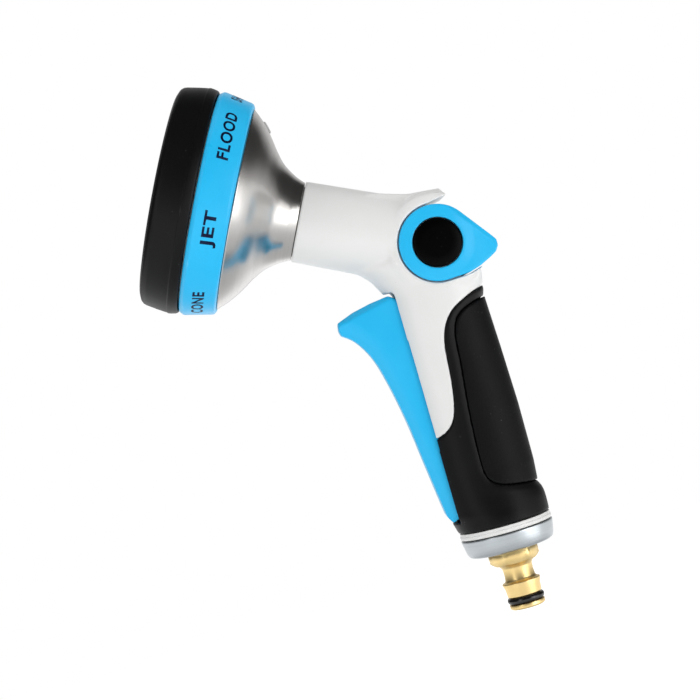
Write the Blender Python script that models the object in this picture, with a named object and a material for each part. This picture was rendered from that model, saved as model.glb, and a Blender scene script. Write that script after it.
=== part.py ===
"""Hose spray nozzle: grip with front trigger, thumb lever for the flow, and a turning pattern head.

Frame: the origin is the centre of the hose plug's end face, +Z runs up the handle, and the nozzle
sprays towards -X. Lengths below are millimetres; MM turns them to metres where a mesh is made.
"""
import math

import bmesh
import bpy
from mathutils import Matrix, Vector

MM = 0.001
GAP = 0.3
SMOOTH_ANGLE = math.radians(32)

# Handle, side view: the front is straight, and the pad's rear bulges slightly.
HANDLE_FRONT = -22.2
BASE_RADIUS = 20.0
BASE_BOTTOM = 37.7
PAD_THICKNESS = 2.0
WALL = 2.2
SEAM = 0.15

# Head axis: from JOINT the head points forward and up.
JOINT = Vector((-49.3, 0.0, 184.2))
HEAD_RISE = math.radians(26.75)
NECK_RADIUS = 17.4

# Flow lever and the hub it sits in.
HUB_CENTRE = Vector((4.0, 0.0, 158.9))
HUB_RADIUS = 21.9
HUB_HALF_WIDTH = 17.1
CORE_RADIUS = 15.4
DISC_RADIUS = 16.4
POCKET_RADIUS = 16.8
POCKET_FLOOR = 14.1
DISC_OUTER = 18.4
CAP_RADIUS = 10.35
CAP_OUTER = 19.2
SPOOL_RADIUS = 7.0
SQUARE_DRIVE = 8.0

# Trigger and its slot.
TRIGGER_PIVOT = Vector((-15.0, 0.0, 50.0))
TRIGGER_HALF_WIDTH = 9.5
TRIGGER_WALL = 2.2
SLOT_HALF_WIDTH = 10.1
SLOT_BOTTOM = 42.9
SLOT_TOP = 144.3
SLOT_FLOOR_LOW = -9.0
SLOT_FLOOR_HIGH = -7.0
PIN_RADIUS = 1.5

# Trigger valve, on a horizontal axis through the handle.
VALVE_HEIGHT = 84.0
STEM_RADIUS = 2.0
SEAT_X = 2.5
SEAT_BORE = 4.0
CHAMBER_BORE = 6.2
VALVE_REAR = 12.2

# Hose plug, read up its axis.
PLUG_BORE = 4.8
HEX_FLATS = 19.0
THREAD_RADIUS = 10.0
PLUG_TOP = 38.0

# Head, distances ahead of JOINT.
BELL_THICKNESS = 1.2
RING_REAR = 27.0
RING_FRONT = 42.3
FACE = 60.0
PATTERNS = 7


# ---------------------------------------------------------------- materials

def material(name, colour, roughness, metallic=0.0):
    look = bpy.data.materials.new(name)
    look.use_nodes = True
    shader = look.node_tree.nodes["Principled BSDF"]
    shader.inputs["Base Color"].default_value = (*colour, 1.0)
    shader.inputs["Roughness"].default_value = roughness
    shader.inputs["Metallic"].default_value = metallic
    return look


def make_materials():
    return {
        "white": material("white_plastic", (0.80, 0.81, 0.83), 0.35),
        "black": material("black_plastic", (0.015, 0.015, 0.017), 0.45),
        "soft": material("soft_grip", (0.03, 0.03, 0.033), 0.75),
        "blue": material("blue_plastic", (0.0, 0.42, 0.82), 0.32),
        "brass": material("brass", (0.85, 0.62, 0.30), 0.25, 1.0),
        "zinc": material("satin_zinc", (0.56, 0.60, 0.66), 0.30, 1.0),
        "steel": material("brushed_steel", (0.62, 0.60, 0.57), 0.28, 1.0),
        "rubber": material("seal_rubber", (0.02, 0.02, 0.02), 0.65),
        "natural": material("natural_plastic", (0.72, 0.72, 0.68), 0.40),
    }


# ---------------------------------------------------------------- mesh helpers

def finish(name, bm, look, parent=None, place=None):
    """Make an object from a closed millimetre bmesh; place is its local matrix, in millimetres."""
    bmesh.ops.remove_doubles(bm, verts=bm.verts, dist=1e-5)
    bmesh.ops.recalc_face_normals(bm, faces=bm.faces)
    bmesh.ops.scale(bm, vec=(MM, MM, MM), verts=bm.verts)
    mesh = bpy.data.meshes.new(name)
    bm.to_mesh(mesh)
    bm.free()
    mesh.shade_smooth()
    mesh.set_sharp_from_angle(angle=SMOOTH_ANGLE)
    obj = bpy.data.objects.new(name, mesh)
    bpy.context.scene.collection.objects.link(obj)
    if look:
        mesh.materials.append(look)
    obj.parent = parent
    if place:
        obj.matrix_basis = Matrix.Translation(place.translation * MM) @ place.to_3x3().to_4x4()
    return obj


def empty(name, place):
    guide = bpy.data.objects.new(name, None)
    bpy.context.scene.collection.objects.link(guide)
    guide.matrix_basis = Matrix.Translation(place.translation * MM) @ place.to_3x3().to_4x4()
    return guide


def hide_cutter(cutter):
    cutter.hide_render = True
    cutter.display_type = "WIRE"
    return cutter


def combine(target, tool, operation, solver="EXACT"):
    modifier = target.modifiers.new(f"{operation.lower()}_{tool.name}", "BOOLEAN")
    modifier.operation = operation
    modifier.solver = solver
    modifier.object = tool


def cut(target, *tools, solver="EXACT"):
    for tool in tools:
        combine(target, tool, "DIFFERENCE", solver)


def skin_rings(bm, rings, loop=False):
    """Skin rings of equal point count; loop joins the last ring to the first, otherwise they are capped."""
    made = [[bm.verts.new(point) for point in ring] for ring in rings]
    pairs = list(zip(made, made[1:]))
    if loop:
        pairs.append((made[-1], made[0]))
    for low, high in pairs:
        for i in range(len(low)):
            j = (i + 1) % len(low)
            bm.faces.new((low[i], low[j], high[j], high[i]))
    if not loop:
        bm.faces.new(made[0])
        bm.faces.new(made[-1])
    return bm


def lofted(name, rings, look, parent=None, place=None, loop=False):
    return finish(name, skin_rings(bmesh.new(), rings, loop), look, parent, place)


def turned(name, profile, look, parent=None, place=None, segments=32):
    """Solid of revolution about local Z. A profile of (radius, height) that starts on the axis ends on it."""
    bm = bmesh.new()
    chain = [bm.verts.new((radius, 0.0, height)) for radius, height in profile]
    edges = [bm.edges.new(pair) for pair in zip(chain, chain[1:])]
    if profile[0][0] > 0.0:
        edges.append(bm.edges.new((chain[-1], chain[0])))
    bmesh.ops.spin(
        bm, geom=chain + edges, cent=(0, 0, 0), axis=(0, 0, 1), angle=math.tau,
        steps=segments, use_merge=True,
    )
    return finish(name, bm, look, parent, place)


def rod(name, radius, start, end, look, parent=None, place=None, segments=16):
    """Plain cylinder along local Z between two heights."""
    profile = ((0.0, start), (radius, start), (radius, end), (0.0, end))
    return turned(name, profile, look, parent, place, segments)


def sleeve(name, outer, inner, start, end, look, parent=None, place=None, segments=24):
    """Plain tube along local Z between two heights."""
    profile = ((outer, start), (outer, end), (inner, end), (inner, start))
    return turned(name, profile, look, parent, place, segments)


def prism(name, outline, low, high, look, parent=None, rounding=0.0):
    """Side-view outline of (x, z) points, extruded across Y from low to high, its long edges rounded."""
    bm = bmesh.new()
    face = bm.faces.new([bm.verts.new((x, low, z)) for x, z in outline])
    grown = bmesh.ops.extrude_face_region(bm, geom=[face])
    top = [part for part in grown["geom"] if isinstance(part, bmesh.types.BMVert)]
    bmesh.ops.translate(bm, vec=(0.0, high - low, 0.0), verts=top)
    if rounding:
        rims = [e for e in bm.edges if abs(e.verts[0].co.y - e.verts[1].co.y) < 1e-6]
        bmesh.ops.bevel(bm, geom=rims, offset=rounding, segments=2, profile=0.5, affect="EDGES")
    return finish(name, bm, look, parent)


def box(name, low, high, look, parent=None, place=None):
    bm = bmesh.new()
    bmesh.ops.create_cube(bm, size=1.0)
    low = Vector(low)
    high = Vector(high)
    bmesh.ops.scale(bm, vec=high - low, verts=bm.verts)
    bmesh.ops.translate(bm, vec=(low + high) / 2, verts=bm.verts)
    return finish(name, bm, look, parent, place)


def helix(name, radius, wire, start, end, turns, look, parent=None, place=None):
    """Coil spring along local Z with a six-sided wire and closed ends."""
    steps = int(turns * 9)
    rings = []
    for step in range(steps + 1):
        angle = math.tau * turns * step / steps
        height = start + wire + (end - start - 2 * wire) * step / steps
        outward = Vector((math.cos(angle), math.sin(angle), 0.0))
        centre = outward * radius + Vector((0.0, 0.0, height))
        rings.append([
            centre + outward * wire * math.cos(a) + Vector((0.0, 0.0, wire * math.sin(a)))
            for a in (math.tau * k / 6 for k in range(6))
        ])
    return lofted(name, rings, look, parent, place)


def toroid(name, radius, section, height, look, parent=None, place=None, segments=16):
    """O-ring about local Z with a six-sided section."""
    profile = [
        (radius + section * math.cos(a), height + section * math.sin(a))
        for a in (math.tau * k / 6 for k in range(6))
    ]
    return turned(name, profile, look, parent, place, segments)


def arc(centre, radius, start, end, steps):
    """Side-view (x, z) points on an arc; angles in degrees from +X towards +Z."""
    angles = (math.radians(start + (end - start) * k / steps) for k in range(steps + 1))
    return [(centre[0] + radius * math.cos(a), centre[1] + radius * math.sin(a)) for a in angles]


def smooth_path(points, steps=3):
    """Catmull-Rom curve through side-view points."""
    padded = [points[0], *points, points[-1]]
    path = []
    for a, b, c, d in zip(padded, padded[1:], padded[2:], padded[3:]):
        for k in range(steps):
            t = k / steps
            path.append(tuple(
                0.5 * (2 * q + (r - p) * t + (2 * p - 5 * q + 4 * r - s) * t * t
                       + (3 * q - p - 3 * r + s) * t ** 3)
                for p, q, r, s in zip(a, b, c, d)
            ))
    path.append(points[-1])
    return path


def aim(origin, direction):
    """Local matrix whose Z runs along direction."""
    turn = Vector(direction).to_track_quat("Z", "Y").to_matrix().to_4x4()
    return Matrix.Translation(origin) @ turn


def across(centre):
    """Local Z along +Y through a side-view centre."""
    return Matrix.Translation(Vector((centre[0], 0.0, centre[-1]))) @ Matrix.Rotation(-math.pi / 2, 4, "X")


def head_direction():
    return Vector((-math.cos(HEAD_RISE), 0.0, math.sin(HEAD_RISE)))


def head_up():
    return Vector((math.sin(HEAD_RISE), 0.0, math.cos(HEAD_RISE)))


# ---------------------------------------------------------------- body skin and its cutters
# The housing's curved skins and the spray plate's rows of holes stay closed only with this solver.
SHELL_SOLVER = "MANIFOLD"


def oval(front, rear, half_width, squareness, height, count=24):
    """Superellipse in the XY plane; squareness 2 is an ellipse."""
    points = []
    for k in range(count):
        c = math.cos(math.tau * k / count)
        s = math.sin(math.tau * k / count)
        x = math.copysign(abs(c) ** (2 / squareness), c) * (rear - front) / 2 + (rear + front) / 2
        y = math.copysign(abs(s) ** (2 / squareness), s) * half_width
        points.append(Vector((x, y, height)))
    return points


def handle_rings():
    """The handle's outside from the base's rim up into the hub."""
    stations = (
        (BASE_BOTTOM, -BASE_RADIUS, 19.9, 20.0, 2.0),
        (41.0, -21.0, 20.1, 19.9, 2.0),
        (42.8, -21.4, 20.1, 19.5, 2.1),
        (43.8, HANDLE_FRONT, 20.1, 19.3, 2.1),
        (46.0, HANDLE_FRONT, 20.0, 19.0, 2.1),
        (51.0, HANDLE_FRONT, 18.7, 18.2, 2.2),
        (60.0, HANDLE_FRONT, 19.3, 17.6, 2.3),
        (85.0, HANDLE_FRONT, 19.6, 17.2, 2.3),
        (110.0, HANDLE_FRONT, 19.0, 17.1, 2.3),
        (131.0, HANDLE_FRONT, 18.3, 17.3, 2.3),
        (137.5, HANDLE_FRONT, 18.9, 17.4, 2.3),
        (141.5, HANDLE_FRONT, 19.9, 17.4, 2.3),
        (145.0, -23.4, 20.0, 17.3, 2.3),
        (151.0, -26.6, 19.6, 17.0, 2.2),
        (156.0, -31.5, 17.0, 16.6, 2.2),
    )
    return [oval(front, rear, half, square, z) for z, front, rear, half, square in stations]


def inner_handle_rings():
    """The handle's cavity: it clears the trigger slot in front and the pad's recess behind."""
    stations = (
        (44.2, -6.3, 12.8, 11.6, 3.0),
        (85.0, -6.3, 13.4, 11.6, 3.0),
        (95.0, -6.1, 13.4, 11.6, 3.0),
        (131.0, -5.2, 13.0, 12.0, 2.6),
        (137.5, -5.0, 16.2, 13.8, 2.4),
        (154.0, -5.0, 15.4, 13.3, 2.4),
    )
    return [oval(front, rear, half, square, z) for z, front, rear, half, square in stations]


def neck_rings(inset, near, far):
    """Circular sections back along the head axis; the top line rises slightly towards the hub."""
    rings = []
    for back in (near, 34.0, far):
        growth = 0.85 * min(back, 55.0) / 55.0
        centre = JOINT - head_direction() * back + head_up() * growth
        radius = NECK_RADIUS + growth - inset
        ring = []
        for k in range(24):
            a = math.tau * k / 24
            half = Vector((0.0, math.sin(a), 0.0)) * (NECK_RADIUS - inset)
            ring.append(centre + head_up() * radius * math.cos(a) + half)
        rings.append(ring)
    return rings


def make_skin():
    """The whole housing's outer solid: handle, neck and hub."""
    skin = lofted("guide_skin", handle_rings(), None)
    neck = lofted("guide_neck", neck_rings(0.0, 0.5, 58.0), None)
    edge = HUB_HALF_WIDTH
    profile = ((0, -edge), (18.6, -edge), (21.0, -15.2), (HUB_RADIUS, -12), (HUB_RADIUS, 12),
               (21.0, 15.2), (18.6, edge), (0, edge))
    hub = turned("guide_hub", profile, None, place=across(HUB_CENTRE), segments=32)
    for piece in (neck, hub):
        combine(skin, hide_cutter(piece), "UNION", SHELL_SOLVER)
    return hide_cutter(skin)


def make_housing(skin, hollow, tools):
    """Skin less its cavity, the trigger slot and the lever's space; every shell is a region of it."""
    housing = box("guide_housing", (-80.0, -40.0, 30.0), (45.0, 40.0, 240.0), None)
    combine(housing, skin, "INTERSECT", SHELL_SOLVER)
    cut(housing, hollow, tools["slot"], tools["sweep"], tools["pocket_left"], tools["pocket_right"], tools["spool"],
        solver=SHELL_SOLVER)
    return hide_cutter(housing)


def make_hollow():
    """The housing's cavity: handle, neck and the space round the flow valve."""
    hollow = lofted("guide_hollow", inner_handle_rings(), None)
    neck = lofted("guide_neck_hollow", neck_rings(WALL, -2.0, 42.0), None)
    hub = rod("guide_hub_hollow", 13.2, -11.9, 11.9, None, place=across(HUB_CENTRE), segments=20)
    base = rod("guide_base_hollow", 15.4, 30.0, 44.8, None, segments=24)
    for piece in (neck, hub, base):
        combine(hollow, hide_cutter(piece), "UNION", SHELL_SOLVER)
    return hide_cutter(hollow)


def boundary_line():
    """Where the white housing meets the black one, from behind the handle to in front of it."""
    return smooth_path((
        (26.0, 139.3), (18.0, 137.0), (10.0, 134.3), (1.0, 129.2), (-4.4, 119.4),
        (-6.6, 100.0), (-9.4, 87.2), (-15.0, 81.0), (-26.0, 78.0),
    ))


def pad_outline(inset):
    """The grip pad's side view, open to the rear; a positive inset shrinks it."""
    edge = smooth_path((
        (26.0, 133.4), (12.0, 130.7), (4.2, 127.0), (0.8, 120.0), (-0.5, 106.0), (-2.6, 86.0),
        (-3.7, 66.0), (-2.6, 58.2), (2.0, 54.5), (12.0, 52.2), (26.0, 50.2),
    ))
    middle = Vector((20.0, 92.0))
    shrunk = []
    for x, z in edge:
        toward = middle - Vector((x, z))
        step = toward.normalized() * inset
        shrunk.append((x + step.x, z + step.y))
    return shrunk


def sweep_outline():
    """Space the lever's beak and bridge move through, from its rest up to the lip."""
    x = HUB_CENTRE.x
    z = HUB_CENTRE.z
    lower = [(x + 5.8, z - 16.3), (x + 9.8, z - 16.3), (x + 15.0, z - 14.9), (x + 28.8, z - 8.7)]
    lip = [(34.0, 190.0), (10.5, 185.0), (11.9, 181.2), (13.9, 178.0), (x, z + POCKET_RADIUS + 0.05)]
    return lower + lip + arc((x, z), CORE_RADIUS, 90.0, -68.0, 9)


def pocket_outline():
    """Round pocket for a lever's disc, running out behind under the lever's lower flank."""
    centre = (HUB_CENTRE.x, HUB_CENTRE.z)
    reach = centre[0] + POCKET_RADIUS
    flank = [(centre[0] + 10.0, centre[1] - 16.3), (reach, centre[1] - 10.0), (reach, centre[1] + 9.0)]
    return arc(centre, POCKET_RADIUS, 50.0, 274.0, 20) + flank


def make_cutters():
    """Hidden tools shared by the shells."""
    slot = (
        (-40.0, SLOT_BOTTOM), (SLOT_FLOOR_LOW, SLOT_BOTTOM), (SLOT_FLOOR_HIGH, SLOT_TOP), (-40.0, SLOT_TOP),
    )
    white_side = [*boundary_line(), (-60.0, 78.0), (-90.0, 150.0), (-90.0, 230.0), (40.0, 230.0), (40.0, 139.3)]
    black_side = [*boundary_line(), (-40.0, 78.0), (-40.0, 30.0), (40.0, 30.0), (40.0, 139.3)]
    tools = {
        "slot": prism("cut_slot", slot, -SLOT_HALF_WIDTH, SLOT_HALF_WIDTH, None),
        "sweep": prism("cut_sweep", sweep_outline(), -30.0, 30.0, None),
        "pin": rod("cut_pin", PIN_RADIUS + GAP, -13.2, 13.2, None, place=across(TRIGGER_PIVOT)),
        "gland": rod("cut_gland", 6.4, -20.0, 0.0, None,
                     place=aim((0.0, 0.0, VALVE_HEIGHT), (1.0, 0.0, 0.0)), segments=20),
        "spool": rod("cut_spool", SPOOL_RADIUS + 0.6, -20.0, 20.0, None, place=across(HUB_CENTRE), segments=24),
        "white_side": white_side,
        "black_side": black_side,
    }
    for side, sign in (("left", -1), ("right", 1)):
        low, high = sorted((sign * POCKET_FLOOR, sign * 30.0))
        tools[f"pocket_{side}"] = prism(f"cut_pocket_{side}", pocket_outline(), low, high, None)
    for tool in tools.values():
        if isinstance(tool, bpy.types.Object):
            hide_cutter(tool)
    return tools


# Each screw's side-view x and z, and the Y at which its head seats.
SCREWS = {
    "body_screw_upper": (-15.6, 180.0, 7.0),
    "body_screw_lower": (-30.6, 163.3, 7.0),
    "grip_screw_upper": (10.6, 118.0, 6.5),
    "grip_screw_lower": (11.0, 60.5, 6.5),
}


def add_screw_post(shell, name, side):
    """A post across the cavity: threaded on the left, counterbored on the right."""
    x, z, seat = SCREWS[name]
    place = across((x, z))
    reach = seat + 2.6
    span = (-reach, -SEAM - 0.1) if side == "left" else (SEAM + 0.1, reach)
    post = hide_cutter(rod(f"post_{name}_{side}", 3.0, *span, None, place=place))
    combine(shell, post, "UNION", SHELL_SOLVER)
    if side == "left":
        thread = hide_cutter(rod(f"cut_{name}_thread", 1.6, -8.0, 5.0, None, place=place))
        cut(shell, thread, solver=SHELL_SOLVER)
    else:
        shank = hide_cutter(rod(f"cut_{name}_shank", 1.6, -5.0, 40.0, None, place=place))
        head = hide_cutter(rod(f"cut_{name}_head", 2.9, seat, 40.0, None, place=place))
        cut(shell, shank, head, solver=SHELL_SOLVER)


def make_body_shells(looks, housing, tools):
    """White upper housing, split at the mid-plane."""
    for side, sign in (("left", -1), ("right", 1)):
        low, high = sorted((sign * SEAM, sign * 40.0))
        shell = prism(f"body_shell_{side}", tools["white_side"], low, high, looks["white"])
        combine(shell, housing, "INTERSECT", SHELL_SOLVER)
        for name in ("body_screw_upper", "body_screw_lower"):
            add_screw_post(shell, name, side)


def make_grip_shells(looks, housing, tools):
    """Black lower housing, split at the mid-plane, with a recess for the pad."""
    recess = make_pad_body("guide_pad_recess", -GAP, PAD_THICKNESS + GAP)
    for side, sign in (("left", -1), ("right", 1)):
        low, high = sorted((sign * SEAM, sign * 40.0))
        outline = [(x, z - GAP) for x, z in tools["black_side"]]
        shell = prism(f"grip_shell_{side}", outline, low, high, looks["black"])
        combine(shell, housing, "INTERSECT", SHELL_SOLVER)
        cut(shell, tools["pin"], tools["gland"], recess, solver=SHELL_SOLVER)
        for name in ("grip_screw_upper", "grip_screw_lower"):
            add_screw_post(shell, name, side)


def pad_depth_rings(depth):
    """The handle's outside moved inwards, over the pad's height only."""
    rings = []
    for z, front, rear, half in ((44.0, -19.3, 19.4, 19.0), (51.0, -19.3, 18.7, 18.2), (60.0, -19.3, 19.3, 17.6),
                                 (85.0, -19.3, 19.6, 17.2), (110.0, -19.3, 19.0, 17.1),
                                 (131.0, -19.3, 18.3, 17.3), (139.0, -19.3, 18.9, 17.4)):
        rings.append(oval(front, rear - depth, half - depth, 2.3, z))
    return rings


def make_pad_body(name, inset, depth, look=None, skin=None):
    """Layer on the handle's outside within the pad's outline; with no skin it runs on outwards."""
    body = prism(name, pad_outline(inset), -24.0, 24.0, look)
    if skin:
        combine(body, skin, "INTERSECT", SHELL_SOLVER)
    else:
        hide_cutter(body)
    core = hide_cutter(lofted(f"{name}_core", pad_depth_rings(depth), None))
    cut(body, core, solver=SHELL_SOLVER)
    return body


# ---------------------------------------------------------------- base, hose plug and collar

def make_base(looks):
    turned("trim_ring", (
        (15.4, 34.4), (19.6, 34.4), (BASE_RADIUS, 34.8), (BASE_RADIUS, 36.0), (19.7, 36.2),
        (19.7, 37.3), (15.4, 37.3),
    ), looks["white"], segments=32)
    turned("metal_collar", (
        (11.4, 26.0), (17.2, 26.0), (18.7, 27.0), (19.4, 30.0), (BASE_RADIUS, 33.2),
        (BASE_RADIUS, 34.0), (15.4, 34.0), (15.4, 27.6), (11.4, 27.6),
    ), looks["zinc"], segments=32)
    turned("inlet_socket", (
        (10.4, 28.0), (15.0, 28.0), (15.0, 44.5), (5.7, 44.5), (5.7, 53.0), (3.6, 53.0),
        (3.6, 42.0), (10.4, 42.0),
    ), looks["natural"], segments=24)


def plug_ring(height, radius, flats=0.0, count=24):
    """Round ring of the plug, or a hexagon with a flat towards +X when flats is given."""
    ring = []
    for k in range(count):
        a = math.tau * k / count
        reach = radius
        if flats:
            off_flat = (a + math.pi / 6) % (math.pi / 3) - math.pi / 6
            reach = flats / 2 / math.cos(off_flat)
        ring.append(Vector((reach * math.cos(a), reach * math.sin(a), height)))
    return ring


def make_hose_plug(looks):
    outside = (
        (0.0, 6.8), (0.6, 7.7), (2.2, 7.7), (2.3, 6.4), (5.5, 6.4), (5.6, 7.5), (9.0, 7.7),
        (11.3, 8.3), (12.1, 6.6), (18.0, 6.4), (20.0, 9.0),
    )
    rings = [plug_ring(z, radius) for z, radius in outside]
    rings.append(plug_ring(20.3, 0.0, HEX_FLATS))
    rings.append(plug_ring(27.0, 0.0, HEX_FLATS))
    rings += [plug_ring(27.1, THREAD_RADIUS - 0.2), plug_ring(PLUG_TOP, THREAD_RADIUS - 0.2)]
    rings += [plug_ring(PLUG_TOP, PLUG_BORE), plug_ring(0.0, PLUG_BORE)]
    lofted("hose_connector", rings, looks["brass"], loop=True)
    sleeve("connector_oring", 8.1, 6.7, 2.6, 5.2, looks["rubber"], segments=28)
    sleeve("connector_washer", 9.8, 5.2, PLUG_TOP + GAP, 40.4, looks["rubber"])
    sieve = rod("inlet_filter", 9.8, 40.7, 41.5, looks["steel"], segments=24)
    for k in range(5):
        place = Matrix.Rotation(math.tau * k / 5, 4, "Z") @ Matrix.Translation((2.8, 0.0, 0.0))
        hole = rod(f"cut_filter_{k}", 1.2, 38.0, 44.0, None, place=place, segments=6)
        cut(sieve, hide_cutter(hole))


# ---------------------------------------------------------------- trigger and its valve

def make_trigger(looks, pivot):
    px = TRIGGER_PIVOT.x
    pz = TRIGGER_PIVOT.z
    front = smooth_path(((-21.2, 43.4), (-22.8, 46.0), (-23.7, 51.0), (-26.0, 70.0), (-28.4, 90.0),
                         (-31.6, 107.5), (-35.0, 119.5), (-40.0, 128.1), (-45.2, 132.4)), 2)
    top = [(-45.6, 134.5), (-45.0, 138.2), (-38.0, 140.5), (-30.0, 142.2), (-21.8, 143.2), (-19.0, 141.4)]
    back = [(-17.4, 139.0), (-17.4, 55.0), *arc((px, pz), 4.8, 50.0, -90.0, 5), (-19.0, 44.4)]
    outline = [(x - px, z - pz) for x, z in front + top + back]
    trigger = prism("trigger", outline, -TRIGGER_HALF_WIDTH, TRIGGER_HALF_WIDTH, looks["blue"], pivot, 1.6)
    inner = smooth_path(((-19.3, 47.0), (-21.2, 51.0), (-23.6, 70.0), (-26.0, 90.0),
                         (-29.2, 107.5), (-32.6, 119.5), (-38.0, 129.8), (-42.4, 133.6)), 2)
    inside = [*inner, (-42.4, 136.6), (-30.0, 139.9), (-21.0, 140.9), (-5.0, 140.9), (-5.0, 42.0), (-17.0, 42.0)]
    half = TRIGGER_HALF_WIDTH - TRIGGER_WALL
    channel = prism("cut_channel", [(x - px, z - pz) for x, z in inside], -half, half, None, pivot)
    eye = rod("cut_trigger_eye", PIN_RADIUS + GAP, -14.0, 14.0, None, pivot, across((0.0, 0.0)))
    cut(trigger, hide_cutter(channel), hide_cutter(eye))
    rod("trigger_pin", PIN_RADIUS, -13.0, 13.0, looks["steel"], place=across(TRIGGER_PIVOT))


def make_trigger_valve(looks, stem_guide):
    """Stem valve: pushed in, the poppet leaves its seat against the spring."""
    axis = aim((0.0, 0.0, VALVE_HEIGHT), (1.0, 0.0, 0.0))
    block = box("valve_block", (-5.2, -7.3, 75.0), (VALVE_REAR, 7.3, 93.0), looks["natural"])
    bore = turned("cut_valve_bore", (
        (0.0, -6.5), (STEM_RADIUS + GAP, -6.5), (STEM_RADIUS + GAP, -3.0), (SEAT_BORE, -3.0),
        (SEAT_BORE, SEAT_X), (CHAMBER_BORE, SEAT_X), (CHAMBER_BORE, 20.0), (0.0, 20.0),
    ), None, place=axis, segments=20)
    inlet = rod("cut_valve_inlet", 3.0, 60.0, VALVE_HEIGHT, None, place=Matrix.Translation((7.0, 0.0, 0.0)))
    outlet = rod("cut_valve_outlet", 2.2, VALVE_HEIGHT, 100.0, None, place=Matrix.Translation((-0.2, 0.0, 0.0)))
    cut(block, hide_cutter(bore), hide_cutter(inlet), hide_cutter(outlet))
    sleeve("valve_gland", 6.0, STEM_RADIUS + GAP, -11.6, -8.4, looks["brass"], place=axis, segments=20)
    sleeve("stem_seal", 5.0, STEM_RADIUS + GAP, -8.1, -5.7, looks["rubber"], place=axis, segments=20)
    rod("valve_cap", 5.9, VALVE_REAR - 2.0, VALVE_REAR + 0.5, looks["brass"], place=axis, segments=20)
    turned("valve_stem", (
        (0.0, -24.8), (1.4, -24.8), (STEM_RADIUS, -24.2), (STEM_RADIUS, SEAT_X + 1.6),
        (4.9, SEAT_X + 1.6), (4.9, SEAT_X + 2.6), (0.0, SEAT_X + 2.6),
    ), looks["brass"], stem_guide, segments=16)
    sleeve("poppet_seal", 5.4, STEM_RADIUS + GAP, SEAT_X + GAP, SEAT_X + 1.3, looks["rubber"], stem_guide)
    helix("valve_spring", 4.0, 0.4, SEAT_X + 2.9, VALVE_REAR - 2.3, 3.5, looks["steel"], place=axis)


def make_risers(looks):
    """Water tubes from the socket to the trigger valve, and on to the flow valve."""
    lower = aim((0.0, 0.0, 53.4), (7.0, 0.0, 21.1))
    sleeve("riser_tube_lower", 4.2, 3.0, 1.6, 19.4, looks["natural"], place=lower, segments=16)
    upper = aim((-0.2, 0.0, 93.5), (4.2, 0.0, 54.6))
    sleeve("riser_tube_upper", 4.2, 3.0, 0.4, 53.0, looks["natural"], place=upper, segments=16)


# ---------------------------------------------------------------- flow valve and thumb lever

def make_flow_valve(looks, lever_axis):
    housing = rod("flow_housing", 11.2, -11.4, 11.4, looks["natural"], place=across(HUB_CENTRE), segments=24)
    bore = rod("cut_housing_bore", SPOOL_RADIUS + 0.35, -20.0, 20.0, None, place=across(HUB_CENTRE), segments=24)
    down = rod("cut_housing_inlet", 3.0, 0.0, 20.0, None, place=aim(HUB_CENTRE, (0.0, 0.0, -1.0)))
    ahead = rod("cut_housing_outlet", 4.0, 0.0, 20.0, None, place=aim(HUB_CENTRE, head_direction()))
    cut(housing, *(hide_cutter(tool) for tool in (bore, down, ahead)))
    turn = across((0.0, 0.0))
    profile = [(0.0, -13.0), (SPOOL_RADIUS, -13.0)]
    for groove in (-9.0, 9.0):
        low, high = groove - 1.1, groove + 1.1
        profile += [(SPOOL_RADIUS, low), (5.7, low), (5.7, high), (SPOOL_RADIUS, high)]
    profile += [(SPOOL_RADIUS, 13.0), (0.0, 13.0)]
    spool = turned("flow_spool", profile, looks["natural"], lever_axis, turn, 16)
    half = SQUARE_DRIVE / 2
    drive = box("guide_drive", (-half, -16.6, -half), (half, 16.6, half), None, lever_axis)
    combine(spool, hide_cutter(drive), "UNION")
    cross = rod("cut_spool_port", 3.0, -12.0, 12.0, None, lever_axis)
    cut(spool, hide_cutter(cross))
    for side, place in (("left", -9.0), ("right", 9.0)):
        toroid(f"spool_oring_{side}", 6.55, 0.7, place, looks["rubber"], lever_axis, turn)


def make_flow_lever(looks, lever_axis):
    """Yoke: a disc on each side of the hub, joined behind it by a bridge that ends in the thumb's beak."""
    tip = [(9.8, -15.7), (14.8, -14.2), (19.8, -11.9), (22.8, -10.2), (24.2, -8.0), (24.3, -5.4), (22.6, -2.9)]
    round_part = arc((0.0, 0.0), DISC_RADIUS, 39.4, 276.0, 20)
    lever = prism("flow_lever", round_part + tip, -DISC_OUTER, DISC_OUTER, looks["blue"], lever_axis, 0.9)
    inner = CORE_RADIUS + GAP
    core = rod("cut_lever_core", inner, -POCKET_FLOOR - GAP, POCKET_FLOOR + GAP, None, lever_axis,
               across((0.0, 0.0)), 28)
    clear = [(7.0, -4.0), (19.0, 15.6), (19.0, 30.0), (-30.0, 30.0), (-30.0, -30.0), (7.0, -30.0)]
    front = prism("cut_lever_front", clear, -POCKET_FLOOR - GAP, POCKET_FLOOR + GAP, None, lever_axis)
    hole = rod("cut_lever_hole", CAP_RADIUS + GAP, -30.0, 30.0, None, lever_axis, across((0.0, 0.0)), 24)
    cut(lever, hide_cutter(core), hide_cutter(front), hide_cutter(hole))
    socket = SQUARE_DRIVE / 2 + GAP
    for side, sign in (("left", 1), ("right", -1)):
        turn = Matrix.Rotation(sign * math.pi / 2, 4, "X")
        cap = turned(f"lever_cap_{side}", (
            (0.0, POCKET_FLOOR + GAP), (CAP_RADIUS, POCKET_FLOOR + GAP), (CAP_RADIUS, CAP_OUTER - 0.7),
            (CAP_RADIUS - 0.7, CAP_OUTER), (0.0, CAP_OUTER),
        ), looks["black"], lever_axis, turn, 24)
        hollow = box(f"cut_cap_{side}", (-socket, -socket, 10.0), (socket, socket, 17.0), None, lever_axis, turn)
        cut(cap, hide_cutter(hollow))


# ---------------------------------------------------------------- neck and fixed part of the head

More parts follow.
